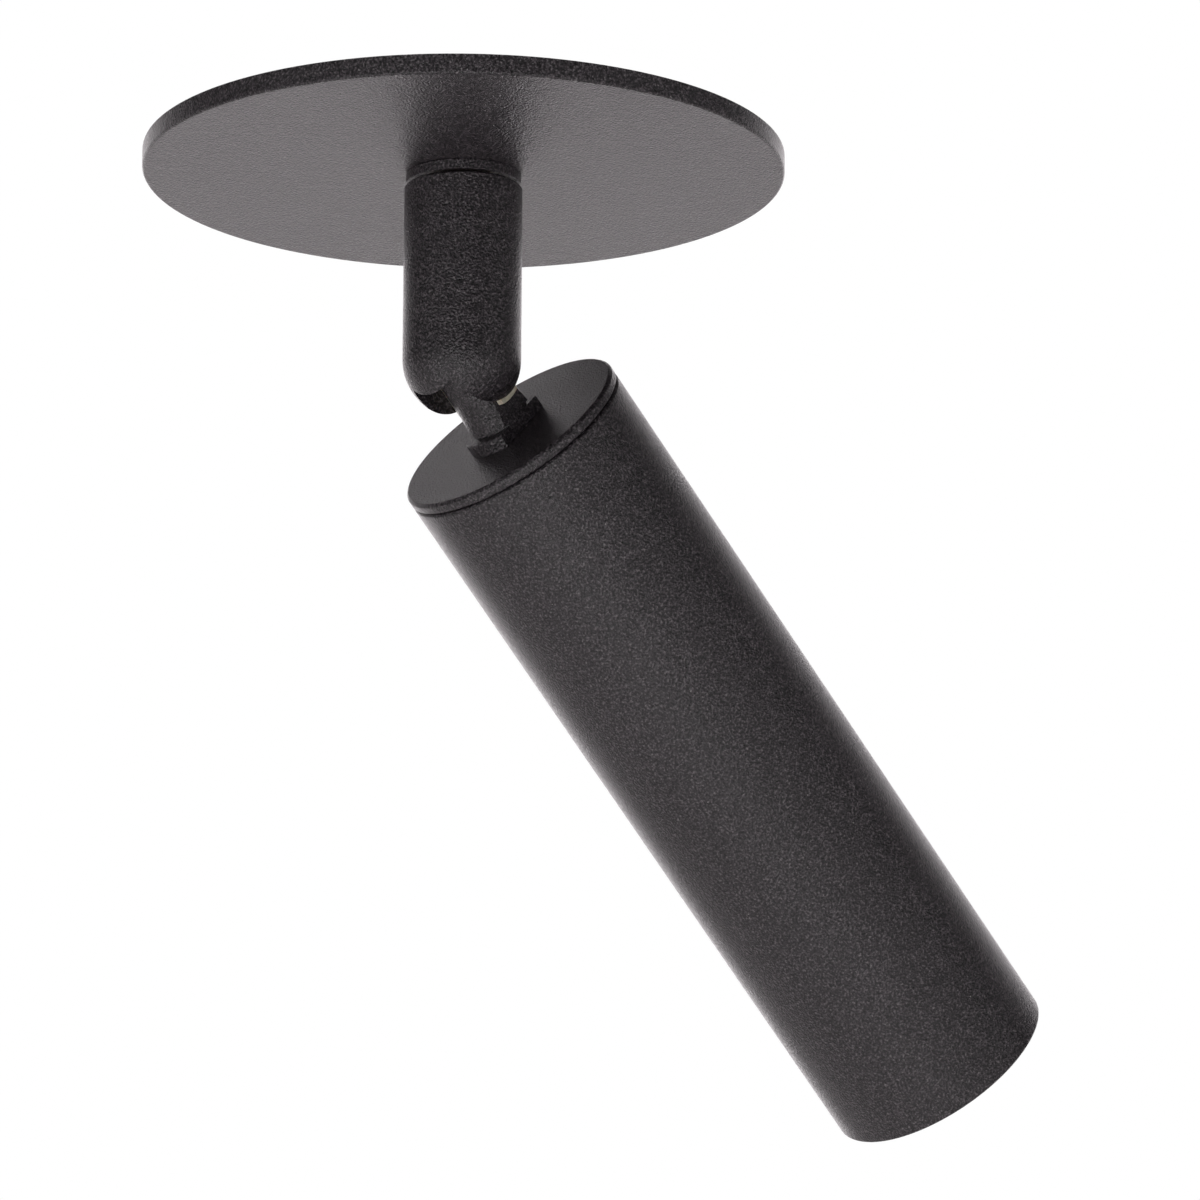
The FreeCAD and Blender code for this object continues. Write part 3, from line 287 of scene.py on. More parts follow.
plate = turned("plate_dish", [
    (PLATE_HOLE_RADIUS, PLATE_UNDERSIDE),
    (PLATE_RADIUS - PLATE_EDGE_BREAK, PLATE_UNDERSIDE),
    (PLATE_RADIUS, PLATE_UNDERSIDE + PLATE_EDGE_BREAK),
    (PLATE_RADIUS, 0.0),
    (PLATE_RADIUS - PLATE_RIM, 0.0),
    (PLATE_RADIUS - PLATE_RIM, DISH_FLOOR),
    (PLATE_HOLE_RADIUS, DISH_FLOOR),
], FINE_STEPS)
stands_for(softened(plate), black_coat, "ceiling_plate", "ceiling_base")

# ------------------------------------------------------------------ collar
# A turned ring between plate and stem, screwed up the bolt until it clamps the plate. It is a
# little narrower than the stem, with a shadow gap under it.

BOLT_RADIUS = 0.005
COLLAR_RADIUS = 0.0095
COLLAR_BOTTOM = -0.005
collar = turned("collar", [
    (BOLT_RADIUS, COLLAR_BOTTOM),
    (COLLAR_RADIUS, COLLAR_BOTTOM),
    (COLLAR_RADIUS, PLATE_UNDERSIDE),
    (BOLT_RADIUS, PLATE_UNDERSIDE),
], FINE_STEPS)
stands_for(softened(collar), black_coat, "collar_ring", "ceiling_base")

# ------------------------------------------------------------------ mounting strap
# A pressed steel bar with two countersunk slots for the ceiling screws and two lugs that hold the
# nut's flats. Its zinc plate is thin, bright and slightly bluish.

STRAP_HALF_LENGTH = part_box("mounting_strap")[1].y
STRAP_HALF_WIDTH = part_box("mounting_strap")[1].x
STRAP_BOTTOM = -0.0015
STRAP_CORNER = 0.004
STRAP_SLOT_PLACE = 0.03
STRAP_SLOT_LENGTH = 0.009
STRAP_SLOT_WIDTH = 0.0045
STRAP_COUNTERSINK = 0.0008
LUG_LENGTH = 0.008
LUG_THICKNESS = 0.0012
LUG_TOP = 0.0024
NUT_FLATS = 0.014
FIT_GAP = 0.00005
STRAP_ROUNDING = 0.00012
TERMINAL_PLACE = (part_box("terminal_block")[0].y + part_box("terminal_block")[1].y) / 2
EARTH_PLACE = (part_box("earth_screw")[0].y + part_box("earth_screw")[1].y) / 2
SCREW_RADIUS = 0.0015
EARTH_SCREW_RADIUS = 0.002
CUT_MARGIN = 0.001
ROUND_SEGMENTS = 10
ROD_STEPS = 48


def zinc_plate():
    """Zinc plate: soft crystalline spangle, patches dulled by handling and a slight blue cast."""
    finish = Finish("zinc plate", Metallic=1.0)
    spangle = finish.noise(0.0012, detail=3.0)
    handled = finish.noise(0.009, detail=4.0)
    finish.colour(spangle, (0.3, (0.50, 0.515, 0.53)), (0.75, (0.68, 0.69, 0.68)))
    finish.roughness(0.26 + 0.26 * handled)
    finish.bump(spangle, 0.00002)
    return finish


zinc = zinc_plate()


def settled(piece):
    """Leave one piece's object at the origin, unturned and unscaled, with the mesh where it was."""
    alone(piece)
    bpy.ops.object.transform_apply(location=True, rotation=True, scale=True)
    return piece


def block(name, low, high, corner=0.0):
    """A plane brought to size, with its corners rounded, drawn up into a block."""
    size = Vector(high) - Vector(low)
    bpy.ops.object.select_all(action="DESELECT")
    bpy.ops.mesh.primitive_plane_add(size=1.0)
    piece = bpy.context.object
    piece.name = name
    piece.scale = (size.x, size.y, 1.0)
    piece.location = (low[0] + size.x / 2, low[1] + size.y / 2, low[2])
    settled(piece)
    bpy.ops.object.mode_set(mode="EDIT")
    bpy.ops.mesh.select_all(action="SELECT")
    if corner:
        bpy.ops.mesh.bevel(offset=corner, segments=ROUND_SEGMENTS, affect="VERTICES")
        bpy.ops.mesh.select_all(action="SELECT")
    bpy.ops.mesh.extrude_region_move(TRANSFORM_OT_translate={"value": (0.0, 0.0, size.z)})
    return faced_outwards(piece)


def rod(name, radius, low, high, place=(0.0, 0.0)):
    """A turned rod that stands at a place."""
    piece = turned(name, [
        (0.0, low),
        (radius, low),
        (radius, high),
        (0.0, high),
    ], ROD_STEPS, closed=False)
    return moved(piece, *place)


def moved(piece, x, y, z=0.0):
    """Shift a finished mesh and leave its object at the origin."""
    piece.location = (x, y, z)
    return settled(piece)


def worked(piece, operation, *tools):
    """Cut tools out of a piece, join them on or keep what both hold."""
    for tool in tools:
        shaped(piece, "BOOLEAN", operation=operation, solver="EXACT", object=tool)
        bpy.data.objects.remove(tool)
    return piece


def slot_tool(centre, low, high, grown, taper):
    """A cutter for a slot along the strap, wider than the slot at its foot and narrower at its top."""
    radius = STRAP_SLOT_WIDTH / 2 + grown
    straight = (STRAP_SLOT_LENGTH - STRAP_SLOT_WIDTH) / 2
    points = []
    for end in (1, -1):
        for step in range(2 * ROUND_SEGMENTS + 1):
            angle = math.pi * (step / (2 * ROUND_SEGMENTS) + (end < 0))
            points.append((radius * math.cos(angle),
                           centre + end * straight + radius * math.sin(angle), low))
    tool = drawn("slot_tool", points)
    bpy.ops.mesh.edge_face_add()
    bpy.ops.mesh.extrude_region_move(TRANSFORM_OT_translate={"value": (0.0, 0.0, high - low)})
    narrowed = (1.0 - taper / radius, 1.0 - taper / (radius + straight), 1.0)
    bpy.ops.transform.resize(value=narrowed, center_override=(0.0, centre, 0.0))
    return faced_outwards(tool)


strap = block("strap_bar", (-STRAP_HALF_WIDTH, -STRAP_HALF_LENGTH, STRAP_BOTTOM),
              (STRAP_HALF_WIDTH, STRAP_HALF_LENGTH, 0.0), STRAP_CORNER)
for side in (-1, 1):
    inner = side * (NUT_FLATS / 2 + FIT_GAP)
    left, right = sorted((inner, inner + side * LUG_THICKNESS))
    worked(strap, "UNION", block("lug", (-LUG_LENGTH / 2, left, STRAP_BOTTOM / 2),
                                 (LUG_LENGTH / 2, right, LUG_TOP)))
    slot_place = side * STRAP_SLOT_PLACE
    worked(strap, "DIFFERENCE",
           slot_tool(slot_place, STRAP_BOTTOM - CUT_MARGIN, CUT_MARGIN, 0.0, 0.0),
           slot_tool(slot_place, STRAP_BOTTOM - CUT_MARGIN, STRAP_BOTTOM + STRAP_COUNTERSINK + CUT_MARGIN,
                     STRAP_COUNTERSINK + CUT_MARGIN, STRAP_COUNTERSINK + 2 * CUT_MARGIN))
for place, radius in ((0.0, PLATE_HOLE_RADIUS), (TERMINAL_PLACE, SCREW_RADIUS),
                      (EARTH_PLACE, EARTH_SCREW_RADIUS)):
    worked(strap, "DIFFERENCE",
           rod("strap_hole", radius, STRAP_BOTTOM - CUT_MARGIN, CUT_MARGIN, (0.0, place)))
stands_for(softened(strap, STRAP_ROUNDING), zinc, "mounting_strap", "ceiling_base")

# ------------------------------------------------------------------ nut, washers and swivel bolt
# The hollow bolt is turned from brass bar, with a fine thread and a flange at its foot that the
# stem hangs on. A zinc plated hexagon nut holds it on the strap, over a lock washer and a spacer.

NUT_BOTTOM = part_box("strap_lock_nut")[0].z
NUT_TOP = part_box("strap_lock_nut")[1].z
NUT_CHAMFER = 0.0006
NUT_TURN = math.radians(30)
SMALL_ROUNDING = 0.0001
FINE_ROUNDING = 0.00005
BOLT_BORE_RADIUS = 0.0033
BOLT_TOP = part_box("swivel_bolt")[1].z
FLANGE_RADIUS = 0.0071
FLANGE_TOP = -0.010
FLANGE_BOTTOM = -0.012
BOLT_PITCH = 0.001
THREAD_SHARE = 0.54
STOP_PIN_RADIUS = 0.0008
STOP_PIN_PLACE = -0.0056
STOP_PIN_HOLD = 0.0015
DARK_STOP = 0.3
LIGHT_STOP = 0.8
TOOL_MARK = 0.000006
ROLLING_LINE = 0.000004


def thread(radius, start, end, pitch):
    """The outline of a V thread's crests and roots, up a turned shank from start to end."""
    turns = int((end - start) / pitch)
    root = radius - THREAD_SHARE * pitch
    points = [(root, start)]
    for turn in range(turns):
        points.append((radius, start + (turn + 0.5) * pitch))
        points.append((root, start + (turn + 1.0) * pitch))
    return points


def hexagon_nut(name, flats, bore, bottom, top, pitch):
    """A hexagon nut with chamfered corners and a threaded bore."""
    corners = flats / math.sqrt(3.0)
    blank = turned(name, [
        (0.0, bottom),
        (flats / 2, bottom),
        (corners + FIT_GAP, bottom + NUT_CHAMFER),
        (corners + FIT_GAP, top - NUT_CHAMFER),
        (flats / 2, top),
        (0.0, top),
    ], FINE_STEPS, closed=False)
    bpy.ops.object.select_all(action="DESELECT")
    bpy.ops.mesh.primitive_cylinder_add(vertices=6, radius=corners, depth=2 * (top - bottom),
                                        location=(0.0, 0.0, (top + bottom) / 2),
                                        rotation=(0.0, 0.0, NUT_TURN))
    worked(blank, "INTERSECT", settled(bpy.context.object))
    depth = THREAD_SHARE * pitch
    tap = turned("nut_tap", [
        (0.0, bottom - pitch),
        *thread(bore + depth, bottom - pitch, top + pitch, pitch),
        (0.0, top + pitch),
    ], MEDIUM_STEPS, closed=False)
    return worked(blank, "DIFFERENCE", tap)


nut = hexagon_nut("hexagon_nut", NUT_FLATS, BOLT_RADIUS, NUT_BOTTOM, NUT_TOP, BOLT_PITCH)
stands_for(softened(nut, SMALL_ROUNDING), zinc, "strap_lock_nut", "ceiling_base")
zinc.coat("plate_spacer", "terminal_stud", "knuckle_washer", "knuckle_nut")


def clouded(name, size, detail, dark, light, dullness, spread, relief=0.0, **constants):
    """A finish whose colour, dullness and relief all follow one cloudy noise."""
    finish = Finish(name, **constants)
    cloud = finish.noise(size, detail)
    finish.colour(cloud, (DARK_STOP, dark), (LIGHT_STOP, light))
    finish.roughness(dullness + spread * cloud)
    if relief:
        finish.bump(cloud, relief)
    return finish


# Turned brass has close tool rings across its axis and a slight tarnish.
brass = clouded("turned brass", 0.004, 4.0, (0.52, 0.38, 0.16), (0.76, 0.58, 0.28), 0.2, 0.22, Metallic=1.0)
brass.tooled("Z", 900.0, 0.4, 1.0, TOOL_MARK)
bolt = turned("hollow_bolt", [
    (BOLT_BORE_RADIUS, FLANGE_BOTTOM),
    (FLANGE_RADIUS, FLANGE_BOTTOM),
    (FLANGE_RADIUS, FLANGE_TOP),
    (BOLT_RADIUS, FLANGE_TOP),
    (BOLT_RADIUS, COLLAR_BOTTOM - BOLT_PITCH),
    *thread(BOLT_RADIUS, COLLAR_BOTTOM, BOLT_TOP, BOLT_PITCH),
    (BOLT_RADIUS - THREAD_SHARE * BOLT_PITCH, BOLT_TOP),
    (BOLT_BORE_RADIUS, BOLT_TOP),
], MEDIUM_STEPS)
worked(bolt, "DIFFERENCE", rod("pin_hole", STOP_PIN_RADIUS, FLANGE_BOTTOM - CUT_MARGIN,
                               FLANGE_BOTTOM + STOP_PIN_HOLD, (STOP_PIN_PLACE, 0.0)))
stands_for(softened(bolt, FINE_ROUNDING), brass, "swivel_bolt", "ceiling_base")
brass.coat("stem_retaining_ring")

# Bare spring steel has a dull oil film over fine rolling lines.
spring_steel = clouded("spring steel", 0.003, 4.0, (0.34, 0.33, 0.31), (0.50, 0.49, 0.47), 0.28, 0.18,
                       Metallic=1.0)
spring_steel.tooled("X", 2500.0, 1.5, 2.0, ROLLING_LINE)
spring_steel.coat("strap_lock_washer", "pan_stop_pin", "wave_washer", "tilt_spring_washer")

# ------------------------------------------------------------------ terminal block and earth screw
# A moulded nylon block with a wire channel and a clamping screw for each of three poles, pushed on
# a riveted stud, and a slotted brass earth screw with its cupped washer.

TERMINAL_LOW, TERMINAL_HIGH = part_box("terminal_block")
POLE_SPACING = 0.006
CHANNEL_RADIUS = 0.0015
CHANNEL_HEIGHT = 0.0096
WELL_RADIUS = 0.0016
TERMINAL_CORNER = 0.0006
FULL_ROUNDING = 0.0002
HEAD_ROUNDING = 0.00008
POLE_GROOVE = 0.0008
DRILL_STEPS = 64
TERMINAL_SCREW_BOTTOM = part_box("terminal_screws")[0].z
TERMINAL_SCREW_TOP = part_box("terminal_screws")[1].z
SMALL_PITCH = 0.0005
DRIVER_SLOT_WIDTH = 0.0006
DRIVER_SLOT_DEPTH = 0.0008
EARTH_SEAT = 0.0007
EARTH_HEAD_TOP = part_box("earth_screw")[1].z
EARTH_HEAD_RADIUS = 0.004
EARTH_CROWN_RADIUS = EARTH_HEAD_RADIUS * 0.86
EARTH_FLAT_RADIUS = EARTH_HEAD_RADIUS * 0.6
EARTH_HEAD_EDGE = EARTH_HEAD_TOP - 0.00095
EARTH_HEAD_CROWN = EARTH_HEAD_TOP - 0.00027143
EARTH_SLOT_WIDTH = 0.001
EARTH_PITCH = 0.0007
EARTH_WASHER_RADIUS = 0.0048
EARTH_WASHER_LIP = EARTH_SEAT / 2


def white_moulding():
    """White moulded plastic: spark eroded grain, faint flow clouds."""
    finish = Finish("white moulded plastic", Subsurface_Weight=0.05, Subsurface_Scale=0.001)
    grain = finish.noise(0.0003, detail=2.0)
    flow = finish.noise(0.006, detail=3.0)
    finish.colour(flow, (DARK_STOP, (0.72, 0.72, 0.69)), (LIGHT_STOP, (0.84, 0.84, 0.82)))
    finish.roughness(0.42 + 0.14 * grain)
    finish.bump(grain, 0.00002)
    return finish


def lying(name, radius, low, high, x, z):
    """A rod along Y between two places."""
    bpy.ops.object.select_all(action="DESELECT")
    bpy.ops.mesh.primitive_cylinder_add(vertices=DRILL_STEPS, radius=radius, depth=high - low,
                                        location=(x, (low + high) / 2, z),
                                        rotation=(math.pi / 2, 0.0, 0.0))
    piece = bpy.context.object
    piece.name = name
    return settled(piece)


def slotted(piece, top, width, depth, reach):
    """Mill a driver slot across the head of a screw that stands on the upright axis."""
    return worked(piece, "DIFFERENCE", block("slot_cutter", (-reach, -width / 2, top - depth),
                                             (reach, width / 2, top + depth)))


white_plastic = white_moulding()
terminal = block("terminal_moulding", TERMINAL_LOW, TERMINAL_HIGH, TERMINAL_CORNER)
for pole in (-1, 0, 1):
    pole_x = pole * POLE_SPACING
    worked(terminal, "DIFFERENCE",
           rod("screw_well", WELL_RADIUS, CHANNEL_HEIGHT, TERMINAL_HIGH.z + CUT_MARGIN,
               (pole_x, TERMINAL_PLACE)),
           lying("wire_channel", CHANNEL_RADIUS, TERMINAL_LOW.y - CUT_MARGIN,
                 TERMINAL_HIGH.y + CUT_MARGIN, pole_x, CHANNEL_HEIGHT))
for side in (-1, 1):
    groove_x = side * POLE_SPACING / 2
    worked(terminal, "DIFFERENCE",
           block("pole_groove", (groove_x - POLE_GROOVE / 2, TERMINAL_LOW.y - CUT_MARGIN,
                                 TERMINAL_HIGH.z - POLE_GROOVE),
                 (groove_x + POLE_GROOVE / 2, TERMINAL_HIGH.y + CUT_MARGIN,
                  TERMINAL_HIGH.z + CUT_MARGIN)))
worked(terminal, "DIFFERENCE", rod("stud_hole", SCREW_RADIUS, TERMINAL_LOW.z - CUT_MARGIN,
                                   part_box("terminal_stud")[1].z, (0.0, TERMINAL_PLACE)))
stands_for(softened(terminal, FULL_ROUNDING), white_plastic, "terminal_block", "ceiling_base")

clamp = turned("clamp_screws", [
    (0.0, TERMINAL_SCREW_BOTTOM),
    *thread(SCREW_RADIUS, TERMINAL_SCREW_BOTTOM, TERMINAL_SCREW_TOP - SMALL_PITCH, SMALL_PITCH),
    (SCREW_RADIUS, TERMINAL_SCREW_TOP - SMALL_PITCH),
    (SCREW_RADIUS, TERMINAL_SCREW_TOP),
    (0.0, TERMINAL_SCREW_TOP),
], ROD_STEPS, closed=False)
slotted(clamp, TERMINAL_SCREW_TOP, DRIVER_SLOT_WIDTH, DRIVER_SLOT_DEPTH, 2 * SCREW_RADIUS)
softened(clamp, FINE_ROUNDING)
copies = []
for pole in (-1, 1):
    alone(clamp)
    bpy.ops.object.duplicate()
    copies.append(moved(bpy.context.object, pole * POLE_SPACING, TERMINAL_PLACE))
moved(clamp, 0.0, TERMINAL_PLACE)
for copy in copies:
    copy.select_set(True)
clamp.select_set(True)
bpy.context.view_layer.objects.active = clamp
bpy.ops.object.join()
stands_for(clamp, zinc, "terminal_screws", "ceiling_base")

earth = turned("slotted_earth_screw", [
    (0.0, STRAP_BOTTOM),
    *thread(EARTH_SCREW_RADIUS, STRAP_BOTTOM, EARTH_SEAT - EARTH_PITCH / 2, EARTH_PITCH),
    (EARTH_SCREW_RADIUS, EARTH_SEAT - EARTH_PITCH / 2),
    (EARTH_SCREW_RADIUS, EARTH_SEAT),
    (EARTH_HEAD_RADIUS, EARTH_SEAT),
    (EARTH_HEAD_RADIUS, EARTH_HEAD_EDGE),
    (EARTH_CROWN_RADIUS, EARTH_HEAD_CROWN),
    (EARTH_FLAT_RADIUS, EARTH_HEAD_TOP),
    (0.0, EARTH_HEAD_TOP),
], MEDIUM_STEPS, closed=False)
slotted(earth, EARTH_HEAD_TOP, EARTH_SLOT_WIDTH, EARTH_SLOT_WIDTH, 2 * EARTH_HEAD_RADIUS)
moved(softened(earth, HEAD_ROUNDING), 0.0, EARTH_PLACE)
stands_for(earth, brass, "earth_screw", "ceiling_base")

cup = turned("cupped_washer", [
    (EARTH_SCREW_RADIUS, 0.0),
    (EARTH_WASHER_RADIUS, 0.0),
    (EARTH_WASHER_RADIUS, EARTH_SEAT + EARTH_WASHER_LIP),
    (EARTH_WASHER_RADIUS - EARTH_WASHER_LIP, EARTH_SEAT + EARTH_WASHER_LIP),
    (EARTH_WASHER_RADIUS - EARTH_WASHER_LIP, EARTH_SEAT),
    (EARTH_SCREW_RADIUS, EARTH_SEAT),
], MEDIUM_STEPS)
moved(softened(cup, HEAD_ROUNDING), 0.0, EARTH_PLACE)
stands_for(cup, brass, "earth_washer", "ceiling_base")

# ------------------------------------------------------------------ supply leads
# Two silicone insulated wires that run from the terminal block, bend down into the hollow bolt and
# hang through the stem to the knuckle's slot.

WIRE_DIAMETER = 0.0012
WIRE_SPACING = 0.002
WIRE_BEND = 0.0035
WIRE_RUN = BOLT_TOP + WIRE_BEND
WIRE_STRAIGHT = 0.0015
WIRE_EXIT = TERMINAL_LOW.y - WIRE_STRAIGHT
WIRE_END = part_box("supply_leads")[0].z


def wire(name, points):
    """A round wire that follows a smooth curve led by its points."""
    curve = bpy.data.curves.new(name, "CURVE")
    curve.dimensions = "3D"
    curve.bevel_depth = WIRE_DIAMETER / 2
    curve.bevel_resolution = 5
    curve.use_fill_caps = True
    spline = curve.splines.new("NURBS")
    spline.points.add(len(points) - 1)
    for place, point in zip(spline.points, points):
        place.co = (*point, 1.0)
    spline.order_u = 3
    spline.use_endpoint_u = True
    spline.resolution_u = 12
    piece = bpy.data.objects.new(name, curve)
    bpy.context.scene.collection.objects.link(piece)
    alone(piece)
    bpy.ops.object.convert(target="MESH")
    bpy.ops.object.shade_smooth_by_angle(angle=SHARP)
    return bpy.context.object


def paired(name, first, second):
    """Join two pieces in one."""
    first.name = name
    alone(first)
    second.select_set(True)
    bpy.ops.object.join()
    return first


# The wires' silicone is softly dull, with a trace of talc.
silicone_skin = clouded("wire insulation", 0.002, 4.0, (0.58, 0.58, 0.55), (0.74, 0.74, 0.71), 0.46, 0.16)
leads = []
for side in (-1, 1):
    pole_x = side * POLE_SPACING
    bore_x = side * WIRE_SPACING / 2
    turn_x = bore_x + (pole_x - bore_x) * WIRE_BEND / WIRE_EXIT
    leads.append(wire("supply_wire", [
        (pole_x, TERMINAL_PLACE, WIRE_RUN),
        (pole_x, WIRE_EXIT, WIRE_RUN),
        (turn_x, WIRE_BEND, WIRE_RUN),
        (bore_x, 0.0, WIRE_RUN - WIRE_BEND),
        (bore_x, 0.0, WIRE_END),
    ]))
supply = paired("supply_wires", *leads)
stands_for(supply, silicone_skin, "supply_leads", "ceiling_base")

# ------------------------------------------------------------------ stem
# A turned aluminium bar, bored from above for the bolt, with a domed lower end. The dome is slotted
# for the knuckle from below and from the front, and drilled across for the tilt screw.

STEM_RADIUS = 0.00975
STEM_TOP = -0.0055
STEM_EDGE_BREAK = 0.0003
STEM_ROUNDING = 0.00016
STEM_BORE_RADIUS = 0.0075
STEM_WIRE_HOLE_RADIUS = 0.003
STEM_BORE_FLOOR = -0.015
PIVOT_DEPTH = 0.0355
DOME_CENTRE = -0.0349
DOME_STEPS = 18
PAD_SLOT_HALF_WIDTH = 0.00545
PAD_SLOT_BACK = -0.0032
TONGUE_SLOT_HALF_WIDTH = 0.00455
TONGUE_SLOT_BACK = -0.0066
SLOT_RADIUS = 0.0056
SLOT_STEPS = 24
HEAD_WELL_RADIUS = 0.00285
SCREW_SEAT = 0.00685
THREAD_END = 0.00875
STOP_LUG_START = 0.0048
STOP_LUG_WIDTH = 0.0012
STOP_LUG_TOP = -0.0123


def arc(radius, start, end, steps, centre=(0.0, 0.0)):
    """Points on an arc between two angles in degrees, counted from the first axis."""
    points = []
    for step in range(steps + 1):
        angle = math.radians(start + (end - start) * step / steps)
        points.append((centre[0] + radius * math.cos(angle), centre[1] + radius * math.sin(angle)))
    return points


def pressed(name, outline, low, high):
    """An outline of x and z, filled and drawn out along Y between two places."""
    piece = drawn(name, [(x, low, z) for x, z in outline])
    bpy.ops.mesh.edge_face_add()
    bpy.ops.mesh.extrude_region_move(TRANSFORM_OT_translate={"value": (0.0, high - low, 0.0)})
    return faced_outwards(piece)


dome_end = math.degrees(math.asin(STEM_WIRE_HOLE_RADIUS / STEM_RADIUS)) - 90.0
stem = turned("stem_bar", [
    (STEM_BORE_RADIUS, STEM_TOP),
    (STEM_RADIUS - STEM_EDGE_BREAK, STEM_TOP),
    (STEM_RADIUS, STEM_TOP - STEM_EDGE_BREAK),
    *arc(STEM_RADIUS, 0.0, dome_end, DOME_STEPS, (0.0, DOME_CENTRE)),
    (STEM_WIRE_HOLE_RADIUS, STEM_BORE_FLOOR),
    (STEM_BORE_RADIUS, STEM_BORE_FLOOR),
], FINE_STEPS)
worked(stem, "UNION", block("stop_lug", (STOP_LUG_START, -STOP_LUG_WIDTH / 2,
                                         STEM_BORE_FLOOR - CUT_MARGIN / 2),
                            (STEM_BORE_RADIUS + CUT_MARGIN / 2, STOP_LUG_WIDTH / 2, STOP_LUG_TOP)))
outward = STEM_RADIUS + CUT_MARGIN


def slot_mill(name, back, half_width):
    """A cutter for the slot: round at its upper back corner, open below and towards the front."""
    corner = min(SLOT_RADIUS, -back)
    return pressed(name, [
        (outward, SLOT_RADIUS - PIVOT_DEPTH),
        *arc(corner, 90.0, 180.0, SLOT_STEPS, (back + corner, SLOT_RADIUS - corner - PIVOT_DEPTH)),
        (back, -PIVOT_DEPTH - outward),
        (outward, -PIVOT_DEPTH - outward),
    ], -half_width, half_width)


worked(stem, "DIFFERENCE",
       slot_mill("tongue_slot_mill", TONGUE_SLOT_BACK, TONGUE_SLOT_HALF_WIDTH),
       slot_mill("pad_slot_mill", PAD_SLOT_BACK, PAD_SLOT_HALF_WIDTH),
       lying("tap_drill", SCREW_RADIUS, -THREAD_END, 0.0, 0.0, -PIVOT_DEPTH),
       lying("clearance_drill", SCREW_RADIUS + FIT_GAP, 0.0, outward, 0.0, -PIVOT_DEPTH),
       lying("well_cutter", HEAD_WELL_RADIUS, SCREW_SEAT, outward, 0.0, -PIVOT_DEPTH))
stands_for(softened(stem, STEM_ROUNDING), black_coat, "stem", "stem")

# ------------------------------------------------------------------ tilt screw
# A socket head screw in black oxide, let into the rear cheek over a spring washer. The head tilts
# on its plain shank.

TILT_HEAD_RADIUS = 0.00275
TILT_HEAD_SEAT = SCREW_SEAT + 0.0004
TILT_HEAD_TOP = TILT_HEAD_SEAT + 0.0019
TILT_TIP = -0.00845
TILT_PLAIN = -0.0056
TILT_PITCH = 0.0005
KEY_FLATS = 0.0025
KEY_DEPTH = 0.0012
TILT_STEPS = 70

# Black oxide is near black, with an oily sheen that comes and goes.
black_oxide = clouded("black oxide", 0.0015, 4.0, (0.03, 0.03, 0.033), (0.075, 0.072, 0.07), 0.28, 0.24,
                      Metallic=1.0)
tilt = turned("tilt_pivot_screw", [
    (0.0, TILT_TIP),
    *thread(SCREW_RADIUS, TILT_TIP, TILT_PLAIN, TILT_PITCH),
    (SCREW_RADIUS, TILT_PLAIN + TILT_PITCH / 2),
    (SCREW_RADIUS, TILT_HEAD_SEAT),
    (TILT_HEAD_RADIUS, TILT_HEAD_SEAT),
    (TILT_HEAD_RADIUS, TILT_HEAD_TOP),
    (0.0, TILT_HEAD_TOP),
], TILT_STEPS, closed=False)
bpy.ops.object.select_all(action="DESELECT")
bpy.ops.mesh.primitive_cylinder_add(vertices=6, radius=KEY_FLATS / math.sqrt(3.0), depth=2 * KEY_DEPTH,
                                    location=(0.0, 0.0, TILT_HEAD_TOP))
worked(tilt, "DIFFERENCE", bpy.context.object)
softened(tilt, SMALL_ROUNDING)
tilt.rotation_euler = (-math.pi / 2, 0.0, 0.0)
tilt.location = (0.0, 0.0, -PIVOT_DEPTH)
settled(tilt)
stands_for(tilt, black_oxide, "tilt_screw", "stem")

# ------------------------------------------------------------------ knuckle and its pads
# The knuckle is turned and milled: a tongue with a half round end between two natural nylon pads,
# a neck with a groove at its foot, a flange on the cap and a hollow threaded stud through it.

REST_TILT = math.radians(47.4)
CAP_FACE = -0.0141
KNUCKLE_END = CAP_FACE - 0.010
KNUCKLE_HALF_FLATS = 0.00425
KNUCKLE_TOP_RADIUS = 0.0052
KNUCKLE_END_RADIUS = 0.0053
KNUCKLE_FOOT_RADIUS = 0.0056
KNUCKLE_TAPER_START = -0.0078
KNUCKLE_GROOVE_RADIUS = 0.00505
KNUCKLE_FLANGE_RADIUS = 0.0071
KNUCKLE_FLANGE_TOP = CAP_FACE + 0.00225
KNUCKLE_GROOVE_TOP = KNUCKLE_FLANGE_TOP + 0.0005
KNUCKLE_EDGE_BREAK = 0.0002
KNUCKLE_ROUNDING = 0.00018
KNUCKLE_THREAD_RADIUS = 0.004
KNUCKLE_BORE_RADIUS = 0.0027
PAD_THICKNESS = 0.00115
PAD_REACH = 0.00845
PAD_HALF_WIDTH = 0.0023


def hung(piece):
    """Tip a piece, modelled straight down from the pivot, to where the head rests."""
    piece.rotation_euler = (0.0, -REST_TILT, 0.0)
    piece.location = (0.0, 0.0, -PIVOT_DEPTH)
    return settled(piece)


